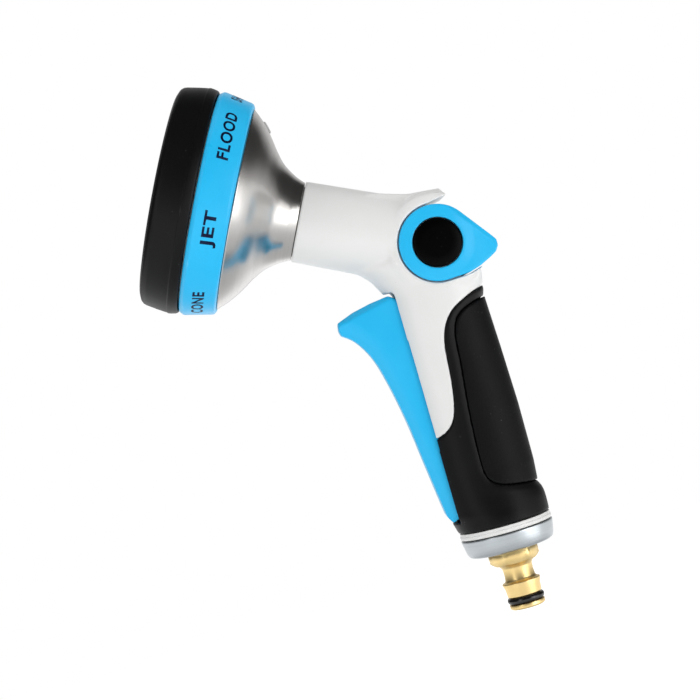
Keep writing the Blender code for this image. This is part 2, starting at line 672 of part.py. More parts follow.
def make_neck(looks, head):
    sleeve("neck_tube", 7.0, 5.0, -41.5, 24.0, looks["natural"], head)
    toroid("neck_oring", 8.0, 0.65, 10.2, looks["rubber"], head)


def make_bell(looks, head):
    """Thin turned bell: it swells from the neck to the ring in one curve."""
    outer = [(16.8, 0.1), (19.0, 5.0), (22.7, 10.0), (27.8, 14.0), (34.0, 18.0), (39.0, 22.0), (43.0, 26.6)]
    inner = [(radius - BELL_THICKNESS * 1.05, height + 0.55) for radius, height in outer]
    inner[0] = (15.6, 0.1)
    inner[-1] = (41.6, 26.6)
    turned("head_bell", outer + inner[::-1], looks["steel"], head, segments=36)
    turned("head_cone", (
        (9.2, -5.0), (14.6, -5.0), (15.1, 0.8), (20.2, 11.6), (31.4, 19.6), (40.6, 27.6),
        (38.0, 27.6), (29.6, 21.4), (18.8, 13.5), (9.2, 13.5),
    ), looks["black"], head, segments=28)


def make_diverter(looks, head):
    """Fixed disc that sends the water to one off-centre port, and the detent beside it."""
    disc = turned("diverter_body", (
        (0.0, 24.3), (22.0, 24.3), (34.0, 25.6), (34.0, 29.6), (5.0, 29.6), (5.0, 38.0), (0.0, 38.0),
    ), looks["natural"], head, segments=28)
    port = rod("cut_port", 3.6, 20.0, 36.0, None, head, Matrix.Translation((0.0, -14.0, 0.0)))
    channel = box("cut_port_channel", (-2.5, -14.0, 20.0), (2.5, 2.5, 26.8), None, head)
    pocket = rod("cut_detent_pocket", 2.6, 26.6, 36.0, None, head, Matrix.Translation((0.0, 28.0, 0.0)))
    thread = rod("cut_head_thread", 1.7, 30.5, 44.0, None, head)
    cut(disc, *(hide_cutter(tool) for tool in (port, channel, pocket, thread)))
    at_port = Matrix.Translation((0.0, -14.0, 0.0))
    sleeve("diverter_seal", 3.3, 2.0, 28.2, 30.2, looks["rubber"], head, at_port, 16)
    helix("diverter_spring", 2.6, 0.3, 25.0, 27.9, 2.5, looks["steel"], head, at_port)
    at_detent = Matrix.Translation((0.0, 28.0, 0.0))
    helix("detent_spring", 1.6, 0.2, 26.8, 28.2, 1.5, looks["steel"], head, at_detent)
    ball = bmesh.new()
    bmesh.ops.create_icosphere(ball, subdivisions=2, radius=1.6)
    finish("detent_ball", ball, looks["steel"], head, Matrix.Translation((0.0, 28.0, 29.9)))


# ---------------------------------------------------------------- turning part of the head

def make_ring(looks, turret):
    turned("selector_ring", (
        (41.9, RING_REAR), (44.2, RING_REAR), (45.2, RING_REAR + 0.6), (45.6, RING_REAR + 1.4),
        (48.2, 40.5), (48.0, 41.7), (47.4, RING_FRONT), (44.3, RING_FRONT), (41.9, 30.0),
    ), looks["blue"], turret, segments=36)
    turned("front_bezel", (
        (44.3, 42.9), (47.7, 42.9), (48.4, 45.2), (48.6, 47.0), (46.9, 57.0), (45.8, 58.6),
        (43.6, 59.8), (42.0, FACE), (40.6, 59.4), (40.4, 57.6), (44.3, 57.4),
    ), looks["black"], turret, segments=36)


def make_spray_parts(looks, turret):
    """Chamber with a pocket for each pattern, closed in front by the spray plate."""
    chamber = turned("spray_chamber", (
        (5.4, 31.4), (41.5, 31.4), (43.9, 42.6), (43.9, 50.8), (38.0, 50.8),
        (38.0, 34.6), (7.6, 34.6), (7.6, 50.8), (5.4, 50.8),
    ), looks["natural"], turret, segments=28)
    track = sleeve("cut_detent_track", 30.0, 26.0, 30.0, 32.1, None, turret, segments=24)
    cut(chamber, hide_cutter(track))
    for k in range(PATTERNS):
        turn = Matrix.Rotation(math.tau * k / PATTERNS, 4, "Z")
        port = rod(f"cut_inlet_{k}", 2.6, 28.0, 40.0, None, turret, turn @ Matrix.Translation((0, -14.0, 0)), 6)
        cut(chamber, hide_cutter(port))
    sleeve("plate_gasket", 43.6, 38.4, 51.1, 52.1, looks["rubber"], turret, segments=28)
    plate = rod("spray_plate", 43.9, 52.4, 57.0, looks["black"], turret, segments=32)
    centre = hide_cutter(rod("cut_plate_centre", 6.4, 40.0, 70.0, None, turret, None, 16))
    cut(plate, centre, solver=SHELL_SOLVER)
    for k in range(PATTERNS):
        turn = Matrix.Rotation(math.tau * k / PATTERNS, 4, "Z")
        for radius in (18.0, 30.0):
            place = turn @ Matrix.Translation((radius, 0.0, 0.0))
            hole = rod(f"cut_hole_{k}_{radius:.0f}", 1.3, 50.0, 60.0, None, turret, place, 6)
            cut(plate, hide_cutter(hole), solver=SHELL_SOLVER)
    sleeve("jet_insert", 6.1, 2.2, 51.4, 59.0, looks["brass"], turret, segments=16)
    rod("head_screw", 3.6, 39.4, 41.6, looks["steel"], turret)


def make_screws(looks):
    for name, (x, z, seat) in SCREWS.items():
        screw = turned(name, (
            (0.0, -7.5), (1.2, -7.5), (1.2, seat + GAP), (2.6, seat + GAP), (2.6, seat + 1.8), (0.0, seat + 1.8),
        ), looks["steel"], place=across((x, z)), segments=12)
        slot = box(f"cut_{name}_drive", (-1.6, -0.35, seat + 1.0), (1.6, 0.35, seat + 3.0), None, screw)
        cut(screw, hide_cutter(slot))


# ---------------------------------------------------------------- assembly

for leftover in list(bpy.data.objects):
    bpy.data.objects.remove(leftover)

LOOKS = make_materials()
head_axis = empty("head_axis", aim(JOINT, head_direction()))
turret_axis = empty("turret_axis", aim(JOINT, head_direction()))
lever_axis = empty("lever_axis", Matrix.Translation(HUB_CENTRE))
trigger_axis = empty("trigger_axis", Matrix.Translation(TRIGGER_PIVOT))
stem_axis = empty("stem_axis", aim((0.0, 0.0, VALVE_HEIGHT), (1.0, 0.0, 0.0)))

body_skin = make_skin()
body_hollow = make_hollow()
cutters = make_cutters()
body_housing = make_housing(body_skin, body_hollow, cutters)
make_body_shells(LOOKS, body_housing, cutters)
make_grip_shells(LOOKS, body_housing, cutters)
make_pad_body("grip_pad", 0.0, PAD_THICKNESS, LOOKS["soft"], body_skin)
make_base(LOOKS)
make_hose_plug(LOOKS)
make_trigger(LOOKS, trigger_axis)
make_trigger_valve(LOOKS, stem_axis)
make_risers(LOOKS)
make_flow_valve(LOOKS, lever_axis)
make_flow_lever(LOOKS, lever_axis)
make_neck(LOOKS, head_axis)
make_bell(LOOKS, head_axis)
make_diverter(LOOKS, head_axis)
make_ring(LOOKS, turret_axis)
make_spray_parts(LOOKS, turret_axis)
make_screws(LOOKS)
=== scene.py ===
import math

import bmesh
import bpy
from mathutils import Matrix, Vector, kdtree


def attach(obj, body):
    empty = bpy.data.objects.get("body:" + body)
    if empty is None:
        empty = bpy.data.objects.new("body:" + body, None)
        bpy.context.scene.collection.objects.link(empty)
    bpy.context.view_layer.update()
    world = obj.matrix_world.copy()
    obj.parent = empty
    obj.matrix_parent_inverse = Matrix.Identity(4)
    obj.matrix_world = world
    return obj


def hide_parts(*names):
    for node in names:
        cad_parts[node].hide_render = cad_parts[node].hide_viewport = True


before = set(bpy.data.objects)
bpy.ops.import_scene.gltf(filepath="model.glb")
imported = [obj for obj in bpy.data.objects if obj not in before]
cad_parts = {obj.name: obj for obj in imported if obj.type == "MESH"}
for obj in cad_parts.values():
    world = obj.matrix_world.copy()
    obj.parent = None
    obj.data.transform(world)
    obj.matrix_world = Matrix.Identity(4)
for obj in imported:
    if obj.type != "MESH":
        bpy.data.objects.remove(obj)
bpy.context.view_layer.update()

# ------------------------------------------------------------------------------------------------
# Camera, light and floor. The nozzle hangs in front of a white sweep, tilted as a hand holds it,
# with soft boxes on both sides of the camera and a card low on the right. The boxes above it light
# it but leave no highlight, so the ceiling stays dark in its metal and its black plastic.
# ------------------------------------------------------------------------------------------------
MM = 0.001
VIEW_CENTRE = Vector((-43.1, 0.0, 125.7)) * MM
VIEW_DISTANCE = 0.90
VIEW_YAW = math.radians(1.6)
PICTURE_UP = Vector((0.2756, 0.0, 0.9613))
WHITE = (1.0, 1.0, 1.0, 1.0)
ROOM_GLOW = 0.42
FLOOR_HEIGHT = -0.32

bpy.context.scene.view_settings.view_transform = "Standard"

camera_data = bpy.data.cameras.new("camera")
camera_data.lens = 108.8
camera_data.clip_start = 0.01
camera = bpy.data.objects.new("camera", camera_data)
bpy.context.scene.collection.objects.link(camera)
bpy.context.scene.camera = camera
backward = Vector((-math.sin(VIEW_YAW), -math.cos(VIEW_YAW), 0.0))
sideways = PICTURE_UP.cross(backward).normalized()
upright = backward.cross(sideways).normalized()
camera.matrix_world = Matrix.Translation(VIEW_CENTRE + backward * VIEW_DISTANCE) @ Matrix(
    (sideways, upright, backward)).transposed().to_4x4()


def soft_box(name, place, width, height, watts, mirrored=True):
    """Rectangular light aimed at the nozzle."""
    light = bpy.data.lights.new(name, "AREA")
    light.shape = "RECTANGLE"
    light.size = width
    light.size_y = height
    light.energy = watts
    lamp = bpy.data.objects.new(name, light)
    bpy.context.scene.collection.objects.link(lamp)
    lamp.location = place
    lamp.rotation_euler = (VIEW_CENTRE - Vector(place)).to_track_quat("-Z", "Y").to_euler()
    lamp.visible_glossy = mirrored


soft_box("key_box", (0.85, -1.0, 0.05), 0.55, 1.0, 4.5)
soft_box("card_box", (0.66, -0.35, -0.15), 0.5, 0.7, 1.3)
soft_box("fill_box", (-0.95, -0.95, 0.35), 0.45, 0.9, 2.3)
soft_box("top_box", (-0.05, 0.10, 1.15), 1.0, 0.6, 3.0, mirrored=False)
soft_box("high_left_box", (-0.85, -0.45, 0.95), 0.6, 0.6, 3.0, mirrored=False)

def set_sockets(tree, node, sockets):
    """Set a node's sockets to values, or join them to outputs."""
    for name, value in sockets.items():
        if isinstance(value, bpy.types.NodeSocket):
            tree.links.new(value, node.inputs[name])
        else:
            node.inputs[name].default_value = value


def add_node(tree, kind, settings=None, sockets=None):
    """Shader node with its settings and its sockets."""
    made = tree.nodes.new("ShaderNode" + kind)
    for name, value in (settings or {}).items():
        setattr(made, name, value)
    set_sockets(tree, made, sockets or {})
    return made


def soft_step(tree, value, low, high, start, end):
    """Output that eases from start to end while the value goes from low to high."""
    step = add_node(tree, "MapRange", {"interpolation_type": "SMOOTHSTEP"}, {
        "Value": value, "From Min": low, "From Max": high, "To Min": start, "To Max": end})
    return step.outputs["Result"]


# Mirrors see a dark room with a pale lower half and a bright wall behind the object.
world = bpy.data.worlds.new("white_studio")
bpy.context.scene.world = world
world.use_nodes = True
studio = world.node_tree
seen = add_node(studio, "LightPath")
heading = add_node(studio, "TexCoord")
bearing = add_node(studio, "SeparateXYZ", {}, {"Vector": heading.outputs["Generated"]})
reflected = add_node(studio, "Math", {"operation": "MAXIMUM"}, {
    0: soft_step(studio, bearing.outputs["Z"], -0.15, 0.08, 0.50, 0.04),
    1: soft_step(studio, bearing.outputs["Y"], 0.60, 0.95, 0.0, 0.75)})
brightness = add_node(studio, "Mix", {}, {
    "Factor": seen.outputs["Is Glossy Ray"], "A": ROOM_GLOW, "B": reflected.outputs["Value"]})
room = studio.nodes["Background"]
room.inputs["Color"].default_value = WHITE
studio.links.new(brightness.outputs["Result"], room.inputs["Strength"])
sweep = add_node(studio, "Background", {}, {"Color": WHITE})
choose = add_node(studio, "MixShader", {}, {
    "Fac": seen.outputs["Is Camera Ray"], 1: room.outputs["Background"], 2: sweep.outputs["Background"]})
studio.links.new(choose.outputs["Shader"], studio.nodes["World Output"].inputs["Surface"])

floor_bm = bmesh.new()
bmesh.ops.create_circle(floor_bm, cap_ends=True, segments=96, radius=3.0)
bmesh.ops.translate(floor_bm, vec=(0.0, 0.0, FLOOR_HEIGHT), verts=floor_bm.verts)
floor_mesh = bpy.data.meshes.new("floor")
floor_bm.to_mesh(floor_mesh)
floor_bm.free()
floor = bpy.data.objects.new("floor", floor_mesh)
bpy.context.scene.collection.objects.link(floor)
floor_look = bpy.data.materials.new("pale_floor")
floor_look.use_nodes = True
floor_tree = floor_look.node_tree
floor_shader = floor_tree.nodes["Principled BSDF"]
floor_shader.inputs["Base Color"].default_value = (0.80, 0.81, 0.82, 1.0)
floor_shader.inputs["Roughness"].default_value = 0.7
floor_shader.inputs["Emission Color"].default_value = WHITE
spot = add_node(floor_tree, "TexCoord")
reach = add_node(floor_tree, "VectorMath", {"operation": "LENGTH"}, {0: spot.outputs["Object"]})
glow = soft_step(floor_tree, reach.outputs["Value"], 0.40, 1.10, 0.12, 0.85)
facing = add_node(floor_tree, "LightPath")
shine = add_node(floor_tree, "Mix", {}, {"Factor": facing.outputs["Is Camera Ray"], "A": glow, "B": 1.0})
floor_tree.links.new(shine.outputs["Result"], floor_shader.inputs["Emission Strength"])
floor_mesh.materials.append(floor_look)


# ------------------------------------------------------------------------------------------------
# Housing skin: the outside that both plastic housings share, before they are split. A straight
# handle, a round neck rising forward to the head, and a hub at their corner, flowing together.
# ------------------------------------------------------------------------------------------------
JOINT = Vector((-49.3, 0.0, 184.2))
HEAD_RISE = math.radians(26.75)
FORWARD = Vector((-math.cos(HEAD_RISE), 0.0, math.sin(HEAD_RISE)))
HEAD_UP = Vector((math.sin(HEAD_RISE), 0.0, math.cos(HEAD_RISE)))
NECK_RADIUS = 17.4
HUB = Vector((4.0, 0.0, 158.9))
HUB_RADIUS = 21.9
HANDLE_FRONT = -22.2

# Height, front, rear, half width and squareness of each handle section.
HANDLE_SECTIONS = (
    (34.0, -19.4, 19.8, 19.8, 2.0),
    (37.7, -20.0, 19.9, 20.0, 2.0),
    (39.4, -20.6, 20.0, 20.0, 2.0),
    (41.0, -21.0, 20.1, 19.9, 2.0),
    (42.6, -21.4, 20.1, 19.6, 2.05),
    (44.0, HANDLE_FRONT, 20.1, 19.3, 2.1),
    (46.2, HANDLE_FRONT, 20.05, 19.0, 2.1),
    (51.2, HANDLE_FRONT, 18.6, 18.2, 2.2),
    (60.0, HANDLE_FRONT, 19.3, 17.6, 2.3),
    (85.0, HANDLE_FRONT, 19.6, 17.2, 2.3),
    (110.0, HANDLE_FRONT, 19.0, 17.1, 2.3),
    (131.0, HANDLE_FRONT, 18.3, 17.3, 2.3),
    (137.5, HANDLE_FRONT, 18.9, 17.4, 2.3),
    (141.5, HANDLE_FRONT, 19.9, 17.4, 2.3),
    (145.0, -23.4, 20.0, 17.3, 2.3),
    (151.0, -26.6, 19.6, 17.0, 2.2),
    (156.0, -31.5, 17.0, 16.6, 2.2),
)


def frame_at(origin, z_axis, x_axis):
    """Matrix with its Z along z_axis and its X along x_axis."""
    z = Vector(z_axis).normalized()
    x = Vector(x_axis).normalized()
    return Matrix.Translation(origin) @ Matrix((x, z.cross(x), z)).transposed().to_4x4()


def across(centre):
    """Local Z along +Y through a point of the side view."""
    return frame_at(centre, (0, 1, 0), (1, 0, 0))


def add_section(bm, place, half_x, half_y, squareness=2.0, count=72):
    ring = bmesh.ops.create_circle(bm, segments=count, radius=1.0)["verts"]
    for vert in ring:
        c, s = vert.co.x, vert.co.y
        vert.co.x = math.copysign(abs(c) ** (2 / squareness), c) * half_x
        vert.co.y = math.copysign(abs(s) ** (2 / squareness), s) * half_y
    bmesh.ops.transform(bm, matrix=place, verts=ring)
    return list({edge for vert in ring for edge in vert.link_edges})


def loft(sections):
    """Closed solid bridged through sections of (place, half_x, half_y, squareness)."""
    bm = bmesh.new()
    loops = [add_section(bm, *section) for section in sections]
    for low, high in zip(loops, loops[1:]):
        bmesh.ops.bridge_loops(bm, edges=low + high)
    bmesh.ops.holes_fill(bm, edges=[e for e in bm.edges if e.is_boundary], sides=0)
    return bm


def spun(profile, segments=96):
    """Solid of revolution about Z from a profile of (radius, height); on the axis it is left open there."""
    bm = bmesh.new()
    chain = [bm.verts.new((radius, 0.0, height)) for radius, height in profile]
    edges = [bm.edges.new(pair) for pair in zip(chain, chain[1:])]
    if profile[0][0] > 0.0:
        edges.append(bm.edges.new((chain[-1], chain[0])))
    bmesh.ops.spin(bm, geom=chain + edges, cent=(0, 0, 0), axis=(0, 0, 1), angle=math.tau,
                   steps=segments, use_merge=True)
    bmesh.ops.remove_doubles(bm, verts=bm.verts, dist=1e-5)
    return bm


def soften(bm, width, segments=3, over=math.radians(24)):
    """Round every edge sharper than the given angle."""
    bmesh.ops.recalc_face_normals(bm, faces=bm.faces)
    sharp = [e for e in bm.edges if e.is_manifold and e.calc_face_angle() > over]
    bmesh.ops.bevel(bm, geom=sharp, offset=width, segments=segments, profile=0.5, affect="EDGES",
                    material=-1, clamp_overlap=True)
    return bm


def side_prism(outline, low, high):
    """Closed side-view outline of (x, z) points drawn out from y = low to y = high."""
    bm = bmesh.new()
    face = bm.faces.new([bm.verts.new((x, low, z)) for x, z in outline])
    pulled = bmesh.ops.extrude_face_region(bm, geom=[face])["geom"]
    far_side = [part for part in pulled if isinstance(part, bmesh.types.BMVert)]
    bmesh.ops.translate(bm, vec=(0, high - low, 0), verts=far_side)
    bmesh.ops.recalc_face_normals(bm, faces=bm.faces)
    return bm


def make_object(name, bm, place=None):
    """Object at the origin from a millimetre bmesh, its place in its mesh."""
    if place:
        bmesh.ops.transform(bm, matrix=place, verts=bm.verts)
    bmesh.ops.scale(bm, vec=(MM, MM, MM), verts=bm.verts)
    bmesh.ops.remove_doubles(bm, verts=bm.verts, dist=1e-8)
    bmesh.ops.recalc_face_normals(bm, faces=bm.faces)
    mesh = bpy.data.meshes.new(name)
    bm.to_mesh(mesh)
    bm.free()
    mesh.shade_smooth()
    obj = bpy.data.objects.new(name, mesh)
    bpy.context.scene.collection.objects.link(obj)
    return obj


def settle(obj):
    """Bake an object's modifiers into its mesh."""
    bpy.context.view_layer.update()
    ready = obj.evaluated_get(bpy.context.evaluated_depsgraph_get())
    mesh = bpy.data.meshes.new_from_object(ready)
    obj.modifiers.clear()
    obj.data = mesh
    mesh.shade_smooth()
    return obj


def combined(obj, operation, *tools):
    """Join, cut or intersect an object with tools, which are then removed."""
    for tool in tools:
        step = obj.modifiers.new("step", "BOOLEAN")
        step.operation = operation
        step.solver = "MANIFOLD"
        step.object = tool
    settle(obj)
    for tool in tools:
        bpy.data.objects.remove(tool)
    return obj


def moulded(obj, voxel, passes):
    """Rebuild a piece as one even skin and relax it, which rounds its edges as a mould does."""
    grid = obj.modifiers.new("grid", "REMESH")
    grid.mode = "VOXEL"
    grid.voxel_size = voxel * MM
    relax = obj.modifiers.new("relax", "SMOOTH")
    relax.factor = 0.5
    relax.iterations = passes
    return settle(obj)


def finished(piece, look, body, slot, *nodes):
    """Give a piece its material and the body it moves with, and hide the CAD nodes it stands for."""
    piece.data.materials.clear()
    piece.data.materials.append(look)
    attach(piece, body)
    if nodes:
        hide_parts(*nodes)


def copy_of(obj, name):
    twin = bpy.data.objects.new(name, obj.data.copy())
    bpy.context.scene.collection.objects.link(twin)
    return twin


def handle_section(height, front, rear, half_width, squareness):
    centre = Vector(((front + rear) / 2, 0.0, height))
    return (Matrix.Translation(centre), (rear - front) / 2, half_width, squareness)


def neck_section(back, inset=0.0):
    growth = 0.85 * min(back, 55.0) / 55.0
    centre = JOINT - FORWARD * back + HEAD_UP * growth
    place = frame_at(centre, -FORWARD, HEAD_UP)
    return (place, NECK_RADIUS + growth - inset, NECK_RADIUS - inset, 2.0)


skin = make_object("skin", loft([handle_section(*s) for s in HANDLE_SECTIONS]))
neck_skin = make_object("neck_skin", loft([neck_section(back) for back in (-3.0, 34.0, 58.0)]))
hub_profile = ((0.0, -17.1), (18.0, -17.1), (20.2, -16.3), (21.5, -14.4), (HUB_RADIUS, -11.5),
               (HUB_RADIUS, 11.5), (21.5, 14.4), (20.2, 16.3), (18.0, 17.1), (0.0, 17.1))
hub_skin = make_object("hub_skin", spun(hub_profile), across(HUB))
brow = make_object("brow", side_prism((
    (-18.0, 187.6), (-8.0, 184.2), (-1.7, 182.4), (5.0, 181.8), (15.0, 180.9), (15.0, 170.0), (-18.0, 170.0),
), -9.0, 9.0))
combined(skin, "UNION", neck_skin, hub_skin, brow)
moulded(skin, 0.9, 10)


# ------------------------------------------------------------------------------------------------
# Body shells: the white upper housing, injection moulded ABS in a left and a right half that meet
# at the mid-plane. They hold the neck, the flow valve and the top of the trigger slot.
# ------------------------------------------------------------------------------------------------
SEAM = 0.15
SHELL_GRID = 0.5
POCKET_RADIUS = 16.8
SCREW_SEATS = {
    "body_screw_upper": (-15.6, 180.0, 7.0),
    "body_screw_lower": (-30.6, 163.3, 7.0),
    "grip_screw_upper": (10.6, 118.0, 6.5),
    "grip_screw_lower": (11.0, 60.5, 6.5),
}
CAVITY_SECTIONS = (
    (44.2, -6.3, 12.8, 11.6, 3.0),
    (85.0, -6.3, 13.4, 11.6, 3.0),
    (95.0, -6.1, 13.4, 11.6, 3.0),
    (131.0, -5.2, 13.0, 12.0, 2.6),
    (137.5, -5.0, 16.2, 13.8, 2.4),
    (154.0, -5.0, 15.4, 13.3, 2.4),
)


def smooth_path(points, steps=6):
    """Catmull-Rom curve through side-view points."""
    padded = [points[0], *points, points[-1]]
    path = []
    for a, b, c, d in zip(padded, padded[1:], padded[2:], padded[3:]):
        for k in range(steps):
            t = k / steps
            path.append(tuple(
                0.5 * (2 * q + (r - p) * t + (2 * p - 5 * q + 4 * r - s) * t * t
                       + (3 * q - p - 3 * r + s) * t ** 3)
                for p, q, r, s in zip(a, b, c, d)
            ))
    path.append(points[-1])
    return path


def arc(centre, radius, start, end, steps):
    """Side-view points on an arc, its angles in degrees from +X towards +Z."""
    angles = [math.radians(start + (end - start) * k / steps) for k in range(steps + 1)]
    return [(centre[0] + radius * math.cos(a), centre[1] + radius * math.sin(a)) for a in angles]


def rod(radius, low, high, place=None, segments=48):
    bm = bmesh.new()
    bmesh.ops.create_cone(bm, cap_ends=True, segments=segments, radius1=radius, radius2=radius,
                          depth=high - low)
    bmesh.ops.translate(bm, vec=(0, 0, (low + high) / 2), verts=bm.verts)
    return make_object("rod", bm, place)


hollow = make_object("hollow", loft([handle_section(*s) for s in CAVITY_SECTIONS]))
neck_hollow = make_object("neck_hollow", loft([neck_section(back, 2.2) for back in (-4.0, 34.0, 42.0)]))
hub_hollow = rod(13.2, -11.9, 11.9, across(HUB))
base_hollow = rod(15.4, 30.0, 44.8)
combined(hollow, "UNION", neck_hollow, hub_hollow, base_hollow)

slot_cut = make_object("slot_cut", side_prism(
    ((-40.0, 42.9), (-9.0, 42.9), (-7.0, 144.3), (-40.0, 144.3)), -10.1, 10.1))
sweep_cut = make_object("sweep_cut", side_prism([
    (HUB.x + 5.8, HUB.z - 16.3), (HUB.x + 9.8, HUB.z - 16.3), (HUB.x + 15.0, HUB.z - 14.9),
    (HUB.x + 28.8, HUB.z - 8.7), (34.0, 190.0), (10.2, 184.5), (11.7, 180.9), (13.3, 177.2),
    (HUB.x, HUB.z + 16.85),
    *arc((HUB.x, HUB.z), 15.4, 90.0, -68.0, 24)], -30.0, 30.0))
pocket = [*arc((HUB.x, HUB.z), POCKET_RADIUS, 50.0, 274.0, 60), (HUB.x + 10.0, HUB.z - 16.3),
          (HUB.x + POCKET_RADIUS, HUB.z - 10.0), (HUB.x + POCKET_RADIUS, HUB.z + 9.0)]
pocket_left = make_object("pocket_left", side_prism(pocket, -30.0, -14.1))
pocket_right = make_object("pocket_right", side_prism(pocket, 14.1, 30.0))
spool_cut = rod(7.6, -20.0, 20.0, across(HUB))
combined(skin, "DIFFERENCE", hollow, slot_cut, sweep_cut, pocket_left, pocket_right, spool_cut)
housing = skin

BOUNDARY = smooth_path((
    (26.0, 139.3), (18.0, 137.0), (10.0, 134.3), (1.0, 129.2), (-4.4, 119.4),
    (-6.6, 100.0), (-9.4, 87.2), (-15.0, 81.0), (-26.0, 78.0),
))
neck_end = JOINT - FORWARD * 0.2
neck_low = neck_end - HEAD_UP * 40.0
neck_high = neck_end + HEAD_UP * 40.0
WHITE_SIDE = [*BOUNDARY, (-60.0, 78.0), (neck_low.x, neck_low.z), (neck_high.x, neck_high.z),
              (40.0, 230.0), (40.0, 139.3)]


def add_screw_post(shell, name):
    """Post across the cavity with a counterbore for the screw's head, on the right half."""
    x, z, seat = SCREW_SEATS[name]
    place = across(Vector((x, 0.0, z)))
    combined(shell, "UNION", rod(3.4, 0.3, seat + 3.2, place))
    combined(shell, "DIFFERENCE", rod(2.9, seat, 40.0, place))


def new_group(name, inputs, outputs):
    """Shader node group with named number or vector inputs and number outputs."""
    tree = bpy.data.node_groups.new(name, "ShaderNodeTree")
    for label, kind, value in inputs:
        socket = tree.interface.new_socket(label, in_out="INPUT", socket_type=kind)
        if kind == "NodeSocketFloat":
            socket.default_value = value
    for label in outputs:
        tree.interface.new_socket(label, in_out="OUTPUT", socket_type="NodeSocketFloat")
    return tree, tree.nodes.new("NodeGroupInput"), tree.nodes.new("NodeGroupOutput")


# Grain of a spark-eroded mould, with a broad unevenness of gloss.
grain_tree, grain_in, grain_out = new_group(
    "moulded_grain",
    (("Vector", "NodeSocketVector", None), ("Scale", "NodeSocketFloat", 3000.0),
     ("Ripple", "NodeSocketFloat", 60.0)),
    ("Height", "Gloss"))
fine = add_node(grain_tree, "TexNoise", {}, {
    "Vector": grain_in.outputs["Vector"], "Scale": grain_in.outputs["Scale"], "Detail": 2.0,
    "Roughness": 0.6})
pits = add_node(grain_tree, "TexVoronoi", {"feature": "SMOOTH_F1"}, {
    "Vector": grain_in.outputs["Vector"], "Scale": grain_in.outputs["Scale"], "Smoothness": 0.6})
height = add_node(grain_tree, "Math", {"operation": "ADD"}, {
    0: fine.outputs["Fac"], 1: pits.outputs["Distance"]})
broad = add_node(grain_tree, "TexNoise", {}, {
    "Vector": grain_in.outputs["Vector"], "Scale": grain_in.outputs["Ripple"], "Detail": 3.0})
grain_tree.links.new(height.outputs["Value"], grain_out.inputs["Height"])
grain_tree.links.new(broad.outputs["Fac"], grain_out.inputs["Gloss"])

# Edges rubbed by hands: a mask that rises on convex edges, broken up by noise.
wear_tree, wear_in, wear_out = new_group(
    "edge_wear",
    (("Vector", "NodeSocketVector", None), ("Start", "NodeSocketFloat", 0.53),
     ("End", "NodeSocketFloat", 0.62)),
    ("Mask",))
convex = add_node(wear_tree, "NewGeometry")
ramp = soft_step(wear_tree, convex.outputs["Pointiness"], wear_in.outputs["Start"], wear_in.outputs["End"],
                 0.0, 1.0)
patch = add_node(wear_tree, "TexNoise", {}, {
    "Vector": wear_in.outputs["Vector"], "Scale": 260.0, "Detail": 4.0})
worn = add_node(wear_tree, "Math", {"operation": "MULTIPLY"}, {
    0: ramp, 1: patch.outputs["Fac"]})
wear_tree.links.new(worn.outputs["Value"], wear_out.inputs["Mask"])

# Lint and water spots: few, small and soft.
dust_tree, dust_in, dust_out = new_group(
    "fine_dust",
    (("Vector", "NodeSocketVector", None), ("Scale", "NodeSocketFloat", 420.0)),
    ("Mask",))
specks = add_node(dust_tree, "TexVoronoi", {}, {
    "Vector": dust_in.outputs["Vector"], "Scale": dust_in.outputs["Scale"]})
near = soft_step(dust_tree, specks.outputs["Distance"], 0.16, 0.04, 0.0, 1.0)
drift = add_node(dust_tree, "TexNoise", {}, {
    "Vector": dust_in.outputs["Vector"], "Scale": 90.0, "Detail": 3.0})
few = add_node(dust_tree, "MapRange", {}, {"Value": drift.outputs["Fac"], "From Min": 0.55, "From Max": 0.75})
spots = add_node(dust_tree, "Math", {"operation": "MULTIPLY"}, {
    0: near, 1: few.outputs["Result"]})
dust_tree.links.new(spots.outputs["Value"], dust_out.inputs["Mask"])


def use_group(tree, group, **sockets):
    made = tree.nodes.new("ShaderNodeGroup")
    made.node_tree = group
    set_sockets(tree, made, sockets)
    return made


def blend_colour(tree, mask, low, high):
    mixed = add_node(tree, "Mix", {"data_type": "RGBA"}, {"Factor": mask})
    for index, value in ((6, low), (7, high)):
        if isinstance(value, bpy.types.NodeSocket):
            tree.links.new(value, mixed.inputs[index])
        else:
            mixed.inputs[index].default_value = (*value, 1.0)
    return mixed.outputs[2]


def new_look(name):
    """Material, its tree, its shader and its object coordinates."""
    look = bpy.data.materials.new(name)
    look.use_nodes = True
    tree = look.node_tree
    return look, tree, tree.nodes["Principled BSDF"], add_node(tree, "TexCoord").outputs["Object"]


def dress(tree, shader, colour, gloss, gloss_range, roughness_range, height, strength, depth):
    """Join a colour, a gloss turned into roughness, and a relief in millimetres to a shader."""
    rough = add_node(tree, "MapRange", {}, {
        "Value": gloss, "From Min": gloss_range[0], "From Max": gloss_range[1],
        "To Min": roughness_range[0], "To Max": roughness_range[1]})
    bump = add_node(tree, "Bump", {}, {"Height": height, "Strength": strength, "Distance": depth * MM})
    set_sockets(tree, shader, {
        "Base Color": colour, "Roughness": rough.outputs["Result"], "Normal": bump.outputs["Normal"]})


